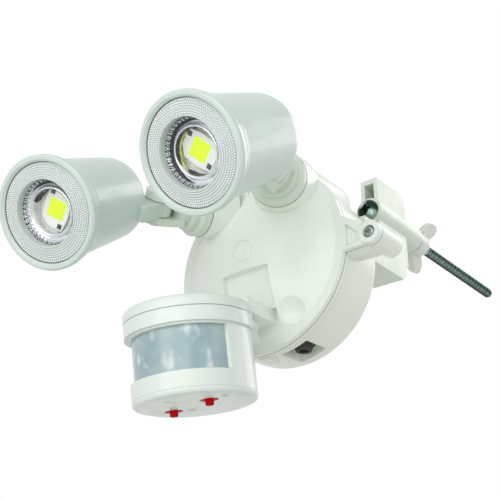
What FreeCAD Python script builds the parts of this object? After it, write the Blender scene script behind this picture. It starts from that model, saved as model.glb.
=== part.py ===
import FreeCAD, Part
import math
import os
import re
import Sketcher

os.makedirs("parts", exist_ok=True)
doc = FreeCAD.newDocument("motion_sensor_light")

# Every independent size, in millimetres or degrees, under a plain name.
SIZES = (
    # round body
    ("back_radius", 50.0),
    ("side_draft", 1.4),
    ("rim_overhang", 3.0),
    ("rim_thickness", 3.0),
    ("back_corner", 4.0),
    ("body_depth", 36.0),
    ("wall", 2.4),
    ("shoulder_radius", 17.0),
    ("shoulder_side", 19.2),
    ("shoulder_rise", 36.6),
    ("shoulder_depth", 33.0),
    ("shoulder_front", 9.0),
    ("gasket_thickness", 0.8),
    ("gasket_inset", 0.9),
    ("gasket_width", 1.4),
    ("ear_reach", 15.0),
    ("ear_drop", 4.0),
    ("low_ear_reach", 7.0),
    ("low_ear_turn", 35.0),
    ("ear_radius", 6.2),
    ("ear_depth", 20.0),
    ("ear_rib", 5.0),
    ("web_high", 17.0),
    ("web_low", 6.0),
    ("web_depth", 9.0),
    ("web_rim", 1.2),
    ("web_pocket", 1.6),
    ("lip_width", 6.0),
    ("lip_drop", 3.5),
    ("lip_depth", 12.0),
    ("lip_root", 2.0),
    # dome cover
    ("dome_radius", 80.0),
    ("dome_inset", 5.0),
    ("dome_height", 18.5),
    ("cover_rim", 2.5),
    ("cover_ear", 3.4),
    ("ear_recess", 1.6),
    ("ear_room", 0.4),
    ("cap_radius", 6.0),
    ("cap_recess", 1.0),
    ("cap_crown", 0.5),
    ("cap_edge", 0.5),
    # small screws
    ("screw_radius", 1.5),
    ("screw_head", 3.0),
    ("screw_crown", 1.9),
    ("screw_reach", 12.0),
    ("screw_tip", 0.5),
    ("recess_width", 0.7),
    ("recess_span", 3.2),
    ("recess_depth", 1.1),
    # lamp swivel towers and arms
    ("tower_side", 26.6),
    ("tower_rise", 32.5),
    ("tower_front", 21.5),
    ("tower_turn", 20.7),
    ("tower_dip", 11.3),
    ("tower_top", 15.6),
    ("tower_foot", 18.0),
    ("tower_height", 15.0),
    ("tower_plate", 4.0),
    ("tower_bore", 11.0),
    ("swivel_rest", 45.0),
    ("spigot_radius", 5.0),
    ("spigot_reach", 7.0),
    ("running_gap", 0.05),
    ("face_gap", 0.3),
    ("clip_width", 3.0),
    ("clip_thickness", 1.2),
    ("rotor_radius", 15.4),
    ("rotor_height", 6.0),
    ("rotor_edge", 1.5),
    ("step_radius", 12.4),
    ("step_height", 4.0),
    ("step_edge", 1.0),
    ("neck_radius", 9.5),
    ("neck_top", 17.0),
    ("arm_reach", 25.7),
    ("knuckle_radius", 8.4),
    ("tongue_half", 4.0),
    ("tongue_gap", 0.4),
    ("tongue_radius", 7.4),
    ("ear_thickness", 4.2),
    ("cheek_root", 5.0),
    ("pin_radius", 2.0),
    ("pin_head", 3.8),
    ("pin_crown", 2.2),
    ("pin_edge", 0.5),
    ("wire_radius", 2.4),
    # lamp heads
    ("tilt_rest", 31.2),
    ("lamp_offset", 19.1),
    ("lamp_back", 16.0),
    ("lamp_length", 54.0),
    ("lamp_back_radius", 21.6),
    ("lamp_front_radius", 25.4),
    ("lamp_shoulder", 4.6),
    ("lamp_lip", 1.2),
    ("lip_taper", 5.0),
    ("lip_land", 2.0),
    ("bar_bite", 8.0),
    ("bar_setback", 1.5),
    ("lamp_wall", 2.0),
    ("bezel_radius", 28.4),
    ("bezel_height", 6.0),
    ("bezel_opening", 25.0),
    ("bezel_edge", 1.0),
    ("lens_gap", 0.1),
    ("lens_thickness", 2.0),
    ("lens_setback", 1.8),
    ("lens_crown", 1.6),
    ("lens_well", 16.5),
    ("lens_window", 1.2),
    ("lens_edge", 0.45),
    ("lens_seat", 0.1),
    ("bowl_rim", 24.6),
    ("bowl_mouth", 16.2),
    ("bowl_skin", 0.8),
    ("bowl_throat", 9.0),
    ("bowl_depth", 7.5),
    ("carrier_radius", 12.0),
    ("carrier_thickness", 1.6),
    ("carrier_gap", 0.2),
    ("chip_side", 8.6),
    ("chip_height", 1.0),
    ("sink_radius", 22.4),
    ("sink_height", 5.0),
    ("sink_hub", 9.0),
    ("sink_plate", 1.6),
    ("fin_pitch", 6.0),
    ("fin_thickness", 1.0),
    ("fin_half", 15.0),
    # sensor seat, saddle shelf and neck
    ("seat_half", 14.5),
    ("seat_top", 11.0),
    ("seat_high", 13.5),
    ("seat_low", 8.5),
    ("seat_deep", 4.5),
    ("seat_foot", 46.0),
    ("scoop_side", 25.5),
    ("scoop_drop", 40.5),
    ("scoop_front", 16.0),
    ("scoop_radius", 13.4),
    ("shelf_half", 11.0),
    ("shelf_top", 32.5),
    ("shelf_corner", 4.0),
    ("saddle_floor", 40.0),
    ("saddle_front", 33.0),
    ("pan_front", 22.2),
    ("pan_radius", 4.0),
    ("pan_reach", 5.0),
    ("pan_disc", 7.5),
    ("pan_height", 3.2),
    ("pan_edge", 0.8),
    ("sensor_hinge", 52.3),
    ("fork_half", 4.4),
    ("fork_gap", 0.4),
    ("fork_thickness", 3.6),
    ("fork_radius", 5.6),
    # sensor drum
    ("sensor_pitch", 9.0),
    ("sensor_front", 58.5),
    ("sensor_low", 91.5),
    ("drum_radius", 28.0),
    ("drum_stretch", 5.0),
    ("drum_height", 37.0),
    ("drum_wall", 2.0),
    ("brow_overhang", 1.4),
    ("brow_low", 30.0),
    ("hood_height", 6.0),
    ("hood_edge", 2.0),
    ("hood_seam", 0.25),
    ("window_low", 8.0),
    ("window_high", 29.0),
    ("window_side", 4.0),
    ("film_thickness", 1.0),
    ("film_overlap", 1.5),
    ("base_height", 3.0),
    ("base_edge", 1.0),
    ("dial_radius", 4.0),
    ("dial_thickness", 1.4),
    ("dial_grip", 2.0),
    ("dial_grip_height", 2.6),
    ("dial_edge", 0.4),
    ("dial_room", 0.4),
    ("dial_reach", 4.0),
    ("dial_slot", 0.8),
    ("dial_shaft", 1.5),
    ("dial_left_side", 14.0),
    ("dial_left_back", 3.0),
    ("dial_right_side", 11.5),
    ("dial_right_front", 2.0),
    ("eye_radius", 4.6),
    ("eye_length", 4.0),
    ("eye_step", 0.5),
    ("eye_flange", 0.8),
    ("eye_rise", 18.0),
    ("sensor_board_back", 6.0),
    ("sensor_board_half", 15.0),
    ("sensor_board_low", 0.2),
    ("sensor_board_room", 4.0),
    ("board_thickness", 1.6),
    # driver and wiring
    ("board_half_width", 27.0),
    ("board_half_height", 19.0),
    ("post_side", 22.0),
    ("post_rise", 14.0),
    ("post_radius", 3.0),
    ("post_height", 8.0),
    ("can_radius", 5.0),
    ("can_height", 11.0),
    ("can_edge", 0.4),
    ("can_side", 14.0),
    ("can_rise", 7.0),
    ("coil_left", 2.0),
    ("coil_right", 16.0),
    ("coil_low", 7.0),
    ("coil_high", 9.0),
    ("coil_height", 9.0),
    ("coil_radius", 6.4),
    ("coil_peak", 10.6),
    ("relay_left", 20.0),
    ("relay_right", 8.0),
    ("relay_low", 6.0),
    ("relay_height", 9.0),
    ("terminal_half", 12.0),
    ("terminal_low", 17.0),
    ("terminal_high", 9.0),
    ("terminal_height", 9.0),
    ("terminal_pitch", 8.0),
    ("terminal_screw", 1.9),
    ("terminal_well", 3.0),
    ("terminal_mouth", 1.6),
    ("terminal_throat", 4.0),
    ("gland_depth", 18.0),
    ("gland_radius", 4.1),
    ("gland_flange", 6.6),
    ("gland_bore", 2.6),
    ("gland_lip", 1.6),
    ("gland_nose", 5.4),
    ("gland_reach", 10.0),
    ("pocket_deep", 7.0),
    ("pocket_side", 12.0),
    ("pocket_half_width", 8.0),
    ("pocket_half_depth", 9.0),
    # wall clamp
    ("bolt_side", 38.25),
    ("bolt_rise", 39.0),
    ("bolt_radius", 3.0),
    ("bolt_seat", 50.0),
    ("bolt_length", 150.0),
    ("bolt_head", 6.4),
    ("bolt_crown", 4.0),
    ("bolt_room", 0.2),
    ("bolt_relief", 0.25),
    ("relief_width", 1.5),
    ("boss_radius", 8.0),
    ("boss_end", 97.0),
    ("post_width", 10.5),
    ("post_front", 52.0),
    ("post_rear", 82.0),
    ("post_peak", 60.0),
    ("post_foot", 14.0),
    ("post_corner", 4.0),
    ("slot_width", 6.0),
    ("slot_low", 46.0),
    ("slot_high", 57.0),
    ("slot_depth", 24.0),
    ("foot_left", 12.0),
    ("foot_low", 4.0),
    ("foot_high", 29.0),
    ("foot_rear", 62.0),
    ("horn_left", 24.0),
    ("horn_rear", 80.0),
    ("horn_corner", 5.0),
    ("horn_drop", 3.0),
    ("fix_side", 17.0),
    ("fix_low", 9.0),
    ("fix_high", 23.0),
    ("fix_bite", 10.0),
    ("washer_thickness", 1.2),
    ("washer_radius", 7.6),
    ("nut_radius", 7.0),
    ("nut_length", 12.0),
    ("nut_nose", 3.0),
    ("nut_nose_step", 2.0),
    ("wing_span", 15.5),
    ("wing_thickness", 4.0),
    ("wing_height", 14.0),
    ("wing_root", 4.0),
    ("wing_foot", 2.0),
    ("wing_lobe", 3.0),
    ("nut_rest", 60.0),
    ("thread_start", 118.0),
    # how far a cutting tool runs past the face it cuts
    ("overcut", 1.0),
)

# Sizes that follow from the ones above.
LINKED = (
    ("side_radius", "back_radius + side_draft"),
    ("ring_radius", "back_radius + rim_overhang"),
    ("dome_edge", "ring_radius - dome_inset"),
    ("brow_radius", "drum_radius + brow_overhang"),
    ("ear_offset", "ring_radius + ear_reach"),
    ("ear_rise", "-ear_drop"),
    ("low_ear_side", "(ring_radius + low_ear_reach) * cos(low_ear_turn)"),
    ("low_ear_drop", "(ring_radius + low_ear_reach) * sin(low_ear_turn)"),
    ("gland_face", "back_radius - pocket_deep"),
    ("cheek_inner", "tongue_half + tongue_gap"),
    ("cheek_outer", "cheek_inner + ear_thickness"),
    ("fork_outer", "fork_half + fork_thickness"),
    ("deck", "wall + post_height - body_depth"),
    ("deck_top", "deck + board_thickness"),
    ("screw_seat", "cover_ear - ear_recess"),
)

sheet = doc.addObject("Spreadsheet::Sheet", "Sizes")
ROWS = [(word, str(amount)) for word, amount in SIZES] + [(word, "=" + text) for word, text in LINKED]
for line, (word, text) in enumerate(ROWS, 1):
    sheet.set("A%d" % line, word)
    sheet.setAlias("B%d" % line, word)
    sheet.set("B%d" % line, text)
doc.recompute()
SIZE = {word: float(sheet.get(word)) for word, text in ROWS}

X_AXIS = FreeCAD.Vector(1, 0, 0)
Y_AXIS = FreeCAD.Vector(0, 1, 0)
Z_AXIS = FreeCAD.Vector(0, 0, 1)
ALONG = {
    "z": FreeCAD.Rotation(),
    "-z": FreeCAD.Rotation(X_AXIS, 180),
    "x": FreeCAD.Rotation(Y_AXIS, 90),
    "-x": FreeCAD.Rotation(Y_AXIS, -90),
    "y": FreeCAD.Rotation(X_AXIS, -90),
    "-y": FreeCAD.Rotation(X_AXIS, 90),
}
nodes = []


def in_sheet(text):
    """The same formula with each size's word pointing at its cell."""
    def cell(match):
        word = match.group(0)
        return "Sizes." + word if word in SIZE else word
    return re.sub(r"[a-z_]+", cell, text)


def bind(item, prop, text):
    item.setExpression(prop, in_sheet(text))


def spot(x=0.0, y=0.0, z=0.0, turn=None):
    return FreeCAD.Placement(FreeCAD.Vector(x, y, z), turn or FreeCAD.Rotation())


def put(item, at, axis):
    """Turn an item's own Z along an axis and shift it to three formulas."""
    item.Placement = spot(turn=ALONG[axis])
    for letter, text in zip("xyz", at):
        bind(item, "Placement.Base." + letter, text)
    return item


def stand(item, frame):
    """Set an item down in a frame instead of at its formulas."""
    for letter in "xyz":
        item.setExpression("Placement.Base." + letter, None)
    item.Placement = frame


def cylinder(name, radius, height, at=("0", "0", "0"), axis="z"):
    item = doc.addObject("Part::Cylinder", name)
    bind(item, "Radius", radius)
    bind(item, "Height", height)
    return put(item, at, axis)


def cone(name, low, high, height, at=("0", "0", "0"), axis="z"):
    item = doc.addObject("Part::Cone", name)
    bind(item, "Radius1", low)
    bind(item, "Radius2", high)
    bind(item, "Height", height)
    return put(item, at, axis)


def box(name, low, high):
    """A block between two corners, each given as three formulas."""
    item = doc.addObject("Part::Box", name)
    for prop, start, end in zip(("Length", "Width", "Height"), low, high):
        bind(item, prop, "(%s) - (%s)" % (end, start))
    return put(item, low, "z")


def sphere(name, radius, at):
    item = doc.addObject("Part::Sphere", name)
    bind(item, "Radius", radius)
    return put(item, at, "z")


def fuse(name, shapes):
    item = doc.addObject("Part::MultiFuse", name)
    item.Shapes = shapes
    item.Refine = True
    return item


def common(name, first, second):
    item = doc.addObject("Part::Common", name)
    item.Base = first
    item.Tool = second
    return item


def cut(name, base, tools):
    item = doc.addObject("Part::Cut", name)
    item.Base = base
    item.Tool = tools[0] if len(tools) == 1 else fuse(name + "_tools", tools)
    item.Refine = True
    return item


def origin_plane(body, role):
    return [part for part in body.Origin.OriginFeatures if getattr(part, "Role", "") == role][0]


def outline(body, name, plane, corners, lift="0"):
    """A closed sketch through corners, each corner held by two formulas."""
    sketch = body.newObject("Sketcher::SketchObject", name)
    sketch.AttachmentSupport = [(origin_plane(body, plane), "")]
    sketch.MapMode = "FlatFace"
    bind(sketch, "AttachmentOffset.Base.z", lift)
    count = len(corners)
    step = 2 * math.pi / count
    start = [FreeCAD.Vector(math.cos(step * k), math.sin(step * k), 0) for k in range(count)]
    for k in range(count):
        sketch.addGeometry(Part.LineSegment(start[k], start[(k + 1) % count]), False)
    for k in range(count):
        sketch.addConstraint(Sketcher.Constraint("Coincident", k, 2, (k + 1) % count, 1))
    for k, pair in enumerate(corners):
        for kind, first, text in zip(("DistanceX", "DistanceY"), start[k], pair):
            held = sketch.addConstraint(Sketcher.Constraint(kind, -1, 1, k, 1, first))
            bind(sketch, "Constraints[%d]" % held, text)
    return sketch


def revolved(name, corners):
    """A body turned about its own Z from (radius, height) corners."""
    body = doc.addObject("PartDesign::Body", name)
    sketch = outline(body, name + "_profile", "XZ_Plane", corners)
    turned = body.newObject("PartDesign::Revolution", name + "_turned")
    turned.Profile = sketch
    turned.ReferenceAxis = (sketch, ["V_Axis"])
    turned.Angle = 360
    return body


def padded(name, plane, corners, lift, length):
    """A body raised by a length from an outline lifted off its plane."""
    body = doc.addObject("PartDesign::Body", name)
    sketch = outline(body, name + "_outline", plane, corners, lift)
    pad = body.newObject("PartDesign::Pad", name + "_pad")
    pad.Profile = sketch
    bind(pad, "Length", length)
    return body


def block(name, low, high):
    """A plain rectangular body between two corners of formulas."""
    corners = ((low[0], low[1]), (high[0], low[1]), (high[0], high[1]), (low[0], high[1]))
    return padded(name, "XY_Plane", corners, low[2], "(%s) - (%s)" % (high[2], low[2]))


def node(item, label, frame):
    """Name a finished piece and stand it in the frame of its assembly."""
    item.Label = label
    item.Placement = WORLD.multiply(frame)
    nodes.append(item)
    return item


def cross_recess(name, top):
    """Two crossed slots sunk from a screw's top face."""
    half = "recess_width / 2"
    low = "%s - recess_depth" % top
    high = "%s + recess_depth" % top
    span = "recess_span / 2"
    first = box(name + "_slot_a", ("-" + span, "-" + half, low), (span, half, high))
    second = box(name + "_slot_b", ("-" + half, "-" + span, low), (half, span, high))
    return [first, second]


def screw(label, frame, head, crown, shank, reach):
    """A pan head screw: head above its own origin, shank below."""
    profile = (
        ("0", "-(%s)" % reach),
        (shank + " - screw_tip", "-(%s)" % reach),
        (shank, "screw_tip - (%s)" % reach),
        (shank, "0"),
        (head, "0"),
        (head, crown + " * 0.45"),
        (head + " * 0.72", crown + " * 0.9"),
        (head + " * 0.5", crown),
        ("0", crown),
    )
    solid = revolved(label + "_solid", profile)
    return node(cut(label, solid, cross_recess(label, crown)), label, frame)


# Frames. The body frame looks forward along its own Z, with X to the right
# and Y up. The row's origin is the start of the clamp bolt's free thread.
BODY = spot(turn=FreeCAD.Rotation(X_AXIS, 90))
WORLD = spot(-SIZE["bolt_side"], -SIZE["thread_start"], -SIZE["bolt_rise"])


def tower_frame(side):
    """Top face of a swivel tower in the body frame, Z out along its axis."""
    turn = FreeCAD.Rotation(Y_AXIS, side * SIZE["tower_turn"])
    dip = FreeCAD.Rotation(X_AXIS, SIZE["tower_dip"])
    rest = FreeCAD.Rotation(Z_AXIS, -side * SIZE["swivel_rest"])
    place = spot(side * SIZE["tower_side"], SIZE["tower_rise"], SIZE["tower_front"])
    return place.multiply(spot(turn=turn.multiply(dip).multiply(rest)))


def arm_frame(side):
    return BODY.multiply(tower_frame(side))


def hinge_frame(side):
    """The lamp's hinge: X along the pin, Z along the lamp's beam."""
    tilt = FreeCAD.Rotation(X_AXIS, SIZE["tilt_rest"])
    return arm_frame(side).multiply(spot(z=SIZE["arm_reach"], turn=tilt))


def lamp_frame(side):
    return hinge_frame(side).multiply(spot(y=SIZE["lamp_offset"]))


def sensor_frame():
    """Middle of the drum's lower face, Y to the back and Z up its axis."""
    place = spot(0, -SIZE["sensor_front"], -SIZE["sensor_low"])
    return place.multiply(spot(turn=FreeCAD.Rotation(X_AXIS, SIZE["sensor_pitch"])))


def neck_frame():
    """The sensor's pan axis where it enters the saddle, Z pointing down it."""
    place = spot(0, -SIZE["saddle_floor"], SIZE["pan_front"])
    return BODY.multiply(place).multiply(spot(turn=FreeCAD.Rotation(X_AXIS, 90)))


SIDES = (("right", 1), ("left", -1))


def shoulders(name, radius, low, high):
    """One upright cylinder behind each lamp tower."""
    pair = []
    for word, side in SIDES:
        at = ("%d * shoulder_side" % side, "shoulder_rise", low)
        pair.append(cylinder("%s_%s" % (name, word), radius, "(%s) - (%s)" % (high, low), at))
    return pair


def ears(name, low, high, radius="ear_radius"):
    """Screw ears: one beside the ring, one low on its other side."""
    height = "(%s) - (%s)" % (high, low)
    right = cylinder(name + "_right", radius, height, ("ear_offset", "ear_rise", low))
    left = cylinder(name + "_left", radius, height, ("-low_ear_side", "-low_ear_drop", low))
    return [right, left]


def ear_webs(name, low, high):
    """Tapered webs that join the ears to the ring."""
    height = "(%s) - (%s)" % (high, low)
    end = "ear_offset - 0.3 * ear_radius"
    right = padded(name + "_right", "XY_Plane", (
        ("back_radius - wall", "ear_rise + web_high"),
        ("back_radius - wall", "ear_rise - web_low"),
        (end, "ear_rise - 0.85 * ear_radius"),
        (end, "ear_rise + 0.85 * ear_radius"),
    ), low, height)
    at = ("-0.9 * low_ear_side", "-0.9 * low_ear_drop", low)
    left = cylinder(name + "_left", "ear_radius", height, at)
    return [right, left]


def make_rear_housing():
    """Deep back shell with shoulders, ears, board posts and cable inlet."""
    top = "-gasket_thickness"
    shell = revolved("back_shell", (
        ("0", "-body_depth"),
        ("back_radius - back_corner", "-body_depth"),
        ("back_radius - 0.3 * back_corner", "0.3 * back_corner - body_depth"),
        ("back_radius", "back_corner - body_depth"),
        ("side_radius", "-rim_thickness"),
        ("ring_radius", "-rim_thickness"),
        ("ring_radius", top),
        ("0", top),
    ))
    room = revolved("back_room", (
        ("0", "wall - body_depth"),
        ("back_radius - wall - 0.55 * back_corner", "wall - body_depth"),
        ("back_radius - wall", "back_corner - body_depth"),
        ("side_radius - wall", "0"),
        ("0", "0"),
    ))
    pocket_low = ("pocket_side - pocket_half_width", "-ring_radius - overcut", "-gland_depth - pocket_half_depth")
    pocket_high = ("pocket_side + pocket_half_width", "-gland_face", "pocket_half_depth - gland_depth")
    pocket_room = box("pocket_room", pocket_low, pocket_high)
    frame_low = [text + " - wall" for text in pocket_low]
    frame_high = [text + " + wall" for text in pocket_high]
    frame_limit = cylinder("pocket_limit", "back_radius - 0.2 * wall", "body_depth", ("0", "0", "-body_depth"))
    pocket_frame = common("pocket_frame", box("pocket_block", frame_low, frame_high), frame_limit)
    lip_low = ("-lip_width", "-back_radius - lip_drop", "-lip_depth")
    solids = [shell, box("drain_lip", lip_low, ("0", "lip_root - back_radius", "-rim_thickness"))]
    rib_low = ("back_radius - wall", "ear_rise - ear_rib / 2", "-ear_depth")
    solids.append(box("ear_rib_block", rib_low, ("ear_offset", "ear_rise + ear_rib / 2", top)))
    solids += shoulders("back_shoulder", "shoulder_radius", "-shoulder_depth", top)
    solids += ears("back_ear", "-ear_depth", top) + ear_webs("back_web", "-web_depth", top)
    hollows = [room]
    hollows += shoulders("back_shoulder_room", "shoulder_radius - wall", "wall - shoulder_depth", "0")
    hollows += ears("back_ear_hole", "-ear_depth - overcut", "0", "screw_radius")
    inlet_at = ("pocket_side", "-gland_face - overcut", "-gland_depth")
    inlet_hole = cylinder("inlet_hole", "gland_radius", "wall + 2 * overcut", inlet_at, "y")
    for word, rise in (("low", "fix_low"), ("high", "fix_high")):
        at = ("fix_side", rise, "-body_depth - overcut")
        hollows.append(cylinder("fix_hole_" + word, "screw_radius", "wall + 2 * overcut", at))
    walls = cut("rear_housing_walls", fuse("back_solid", solids), hollows)
    body = cut("rear_housing_shell", fuse("back_with_pocket", [walls, pocket_frame]), [pocket_room, inlet_hole])
    posts = []
    for word, side in SIDES:
        for level, up in (("high", 1), ("low", -1)):
            at = ("%d * post_side" % side, "%d * post_rise" % up, "wall - body_depth")
            name = "post_%s_%s" % (word, level)
            post = cylinder(name + "_solid", "post_radius", "post_height", at)
            hole = cylinder(name + "_hole", "screw_radius", "post_height", at)
            posts.append(cut(name, post, [hole]))
    return node(fuse("rear_housing", [body] + posts), "rear_housing", BODY)


def seat_dent(name, skin):
    """Flat seat and round scoops above the sensor, grown by a skin."""
    seat = padded(name + "_seat", "YZ_Plane", (
        ("%s - seat_top" % skin, "seat_high - %s" % skin),
        ("%s - shelf_top" % skin, "seat_low - %s" % skin),
        ("%s - shelf_top" % skin, "seat_deep - %s" % skin),
        ("-%s - seat_foot" % skin, "seat_deep - %s" % skin),
        ("-%s - seat_foot" % skin, "saddle_front"),
        ("%s - seat_top" % skin, "saddle_front"),
    ), "-seat_half - %s" % skin, "2 * (seat_half + %s)" % skin)
    tools = [seat]
    for word, side in SIDES:
        at = ("%d * scoop_side" % side, "-scoop_drop", "scoop_front")
        tools.append(sphere("%s_scoop_%s" % (name, word), "scoop_radius + %s" % skin, at))
    return tools


def make_shelf():
    """Shelf under the seat that carries the sensor's pan joint."""
    half = (
        ("shelf_half", "seat_deep - wall / 2"),
        ("shelf_half", "saddle_front - shelf_corner"),
        ("shelf_half - shelf_corner", "saddle_front"),
    )
    mirrored = tuple(("-(%s)" % across, out) for across, out in reversed(half))
    return padded("saddle_shelf", "XZ_Plane", half + mirrored, "shelf_top", "saddle_floor - shelf_top")


def make_web_pocket():
    """Shallow pocket between the ring and the screw ear beside it."""
    near = "ring_radius + web_rim"
    far = "ear_offset - ear_radius - web_rim"
    return padded("web_pocket_cut", "XY_Plane", (
        (near, "ear_rise + 0.5 * web_high"),
        (near, "ear_rise - 0.6 * web_low"),
        (far, "ear_rise - 0.5 * ear_radius"),
        (far, "ear_rise + 0.4 * ear_radius"),
    ), "cover_rim - web_pocket", "web_pocket + overcut")


def make_front_cover():
    """Domed cover with two lamp towers and the seat for the sensor."""
    centre = ("0", "0", "dome_height - dome_radius")
    dome_ball = sphere("dome_ball", "dome_radius", centre)
    dome_limit = cylinder("dome_limit", "dome_edge", "dome_height")
    dome = cut("dome_solid", common("dome_full", dome_ball, dome_limit), seat_dent("dent", "0"))
    room_ball = sphere("dome_inner_ball", "dome_radius - wall", centre)
    room_at = ("0", "0", "-overcut")
    room_limit = cylinder("dome_room_limit", "dome_edge - wall", "dome_height + overcut", room_at)
    room = cut("dome_room", common("dome_room_full", room_ball, room_limit), seat_dent("dent_back", "wall"))
    solids = [dome, make_shelf(), cylinder("cover_rim_disc", "ring_radius", "cover_rim")]
    solids += shoulders("cover_shoulder", "shoulder_radius", "0", "shoulder_front")
    solids += ears("cover_ear_boss", "0", "cover_ear") + ear_webs("cover_web", "0", "cover_rim")
    hollows = [room, make_web_pocket()]
    hollows += shoulders("cover_shoulder_room", "shoulder_radius - wall", "-overcut", "shoulder_front - 1.25 * wall")
    hollows += ears("cover_ear_hole", "-overcut", "cover_ear + overcut", "screw_radius")
    hollows += ears("cover_ear_seat", "screw_seat", "cover_ear + overcut", "screw_head + ear_room")
    for word, side in SIDES:
        frame = tower_frame(side)
        tower = cone("tower_" + word, "tower_foot", "tower_top", "tower_height")
        room_below = cylinder("tower_room_" + word, "tower_bore", "tower_height - tower_plate + 2 * overcut")
        bore = cylinder("tower_hole_" + word, "spigot_radius + running_gap", "tower_height")
        stand(tower, frame.multiply(spot(z=-SIZE["tower_height"])))
        stand(room_below, frame.multiply(spot(z=-SIZE["tower_height"] - 2 * SIZE["overcut"])))
        stand(bore, frame.multiply(spot(z=SIZE["overcut"] - SIZE["tower_height"])))
        solids.append(tower)
        hollows += [room_below, bore]
    at = ("0", "pan_reach + overcut - saddle_floor", "pan_front")
    hollows.append(cylinder("pan_hole", "pan_radius + running_gap", "pan_reach + 2 * overcut", at, "-y"))
    hollows.append(cylinder("cap_seat", "cap_radius", "2 * cap_recess", ("0", "0", "dome_height - cap_recess")))
    cover = cut("front_cover", fuse("cover_solid", solids), hollows)
    return node(cover, "front_cover", BODY)


def make_gasket():
    """Soft seal that follows the rim of the two shells."""
    low = "-gasket_thickness"
    outer = [cylinder("seal_outer", "side_radius - gasket_inset", "gasket_thickness", ("0", "0", low))]
    outer += shoulders("seal_lobe", "shoulder_radius - gasket_inset / 2", low, "0")
    inner_radius = "side_radius - gasket_inset - gasket_width"
    inner = [cylinder("seal_inner", inner_radius, "2 * overcut", ("0", "0", "-overcut"))]
    lobe_radius = "shoulder_radius - gasket_inset / 2 - gasket_width"
    inner += shoulders("seal_lobe_room", lobe_radius, "-overcut", "overcut")
    return node(cut("cover_gasket", fuse("seal_solid", outer), inner), "cover_gasket", BODY)


def make_body_small_parts():
    make_gasket()
    ear_spots = (
        ("right", SIZE["ear_offset"], SIZE["ear_rise"]),
        ("left", -SIZE["low_ear_side"], -SIZE["low_ear_drop"]),
    )
    for word, x, y in ear_spots:
        at = BODY.multiply(spot(x, y, SIZE["screw_seat"]))
        screw("ear_screw_" + word, at, "screw_head", "screw_crown", "screw_radius", "screw_reach")
    cap = revolved("dome_cap", (
        ("0", "0"),
        ("cap_radius", "0"),
        ("cap_radius", "cap_recess - 0.7 * cap_edge"),
        ("cap_radius - cap_edge", "cap_recess"),
        ("cap_radius - 3 * cap_edge", "cap_recess + cap_crown * 0.8"),
        ("0", "cap_recess + cap_crown"),
    ))
    node(cap, "dome_cap", BODY.multiply(spot(z=SIZE["dome_height"] - SIZE["cap_recess"])))


def make_driver_board():
    """Mains driver board on its four posts, held by two screws."""
    low = ("-board_half_width", "-board_half_height", "deck")
    board = box("board_blank", low, ("board_half_width", "board_half_height", "deck_top"))
    holes = []
    for word, side in SIDES:
        for level, up in (("high", 1), ("low", -1)):
            at = ("%d * post_side" % side, "%d * post_rise" % up, "deck - overcut")
            name = "board_hole_%s_%s" % (word, level)
            holes.append(cylinder(name, "screw_radius", "board_thickness + 2 * overcut", at))
    node(cut("driver_board", board, holes), "driver_board", BODY)
    for word, side, up in (("upper", 1, 1), ("lower", -1, -1)):
        at = spot(side * SIZE["post_side"], up * SIZE["post_rise"], SIZE["deck_top"])
        frame = BODY.multiply(at)
        screw("board_screw_" + word, frame, "screw_head - face_gap", "screw_crown", "screw_radius", "post_height")


def make_capacitor():
    can = revolved("capacitor", (
        ("0", "0"),
        ("can_radius - can_edge", "0"),
        ("can_radius", "can_edge"),
        ("can_radius", "can_height - 1.5 * can_edge"),
        ("can_radius - can_edge", "can_height"),
        ("can_radius - 3.5 * can_edge", "can_height - 0.5 * can_edge"),
        ("0", "can_height - 0.5 * can_edge"),
    ))
    node(can, "capacitor", BODY.multiply(spot(-SIZE["can_side"], SIZE["can_rise"], SIZE["deck_top"])))


def make_terminal_block(frame):
    """Three mains terminals: a clamping screw above each wire's mouth."""
    low = ("-terminal_half", "-terminal_low", "0")
    blank = box("terminal_blank", low, ("terminal_half", "-terminal_high", "terminal_height"))
    holes = []
    for way, word in ((-1, "left"), (0, "middle"), (1, "right")):
        across = "%d * terminal_pitch" % way
        screw_at = (across, "-(terminal_low + terminal_high) / 2", "terminal_height - terminal_well")
        depth = "terminal_well + overcut"
        holes.append(cylinder("terminal_screw_" + word, "terminal_screw", depth, screw_at))
        mouth_at = (across, "-terminal_low - overcut", "terminal_height / 3")
        depth = "terminal_throat + overcut"
        holes.append(cylinder("terminal_mouth_" + word, "terminal_mouth", depth, mouth_at, "y"))
    node(cut("terminal_block", blank, holes), "terminal_block", frame)


def make_driver():
    """Mains driver board with the parts that stand on it."""
    make_driver_board()
    make_capacitor()
    frame = BODY.multiply(spot(z=SIZE["deck_top"]))
    core = box("coil_core", ("coil_left", "-coil_low", "0"), ("coil_right", "coil_high", "coil_height"))
    middle = ("(coil_left + coil_right) / 2", "(coil_high - coil_low) / 2", "0")
    winding = cylinder("coil_winding", "coil_radius", "coil_peak", middle)
    node(fuse("transformer", [core, winding]), "transformer", frame)
    relay = block("relay", ("-relay_left", "-relay_low", "0"), ("-relay_right", "0", "relay_height"))
    node(relay, "relay", frame)
    make_terminal_block(frame)


def make_gland():
    """Cable inlet with no cord in it."""
    gland = revolved("cable_gland", (
        ("gland_bore", "-gland_reach"),
        ("gland_radius", "-gland_reach"),
        ("gland_radius", "0"),
        ("gland_flange", "0"),
        ("gland_flange", "gland_lip"),
        ("gland_flange - 0.75 * gland_lip", "1.5 * gland_lip"),
        ("gland_radius", "gland_nose"),
        ("gland_bore", "gland_nose"),
    ))
    turn = FreeCAD.Rotation(X_AXIS, 90)
    at = spot(SIZE["pocket_side"], -SIZE["gland_face"], -SIZE["gland_depth"], turn)
    node(gland, "cable_gland", BODY.multiply(at))


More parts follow.
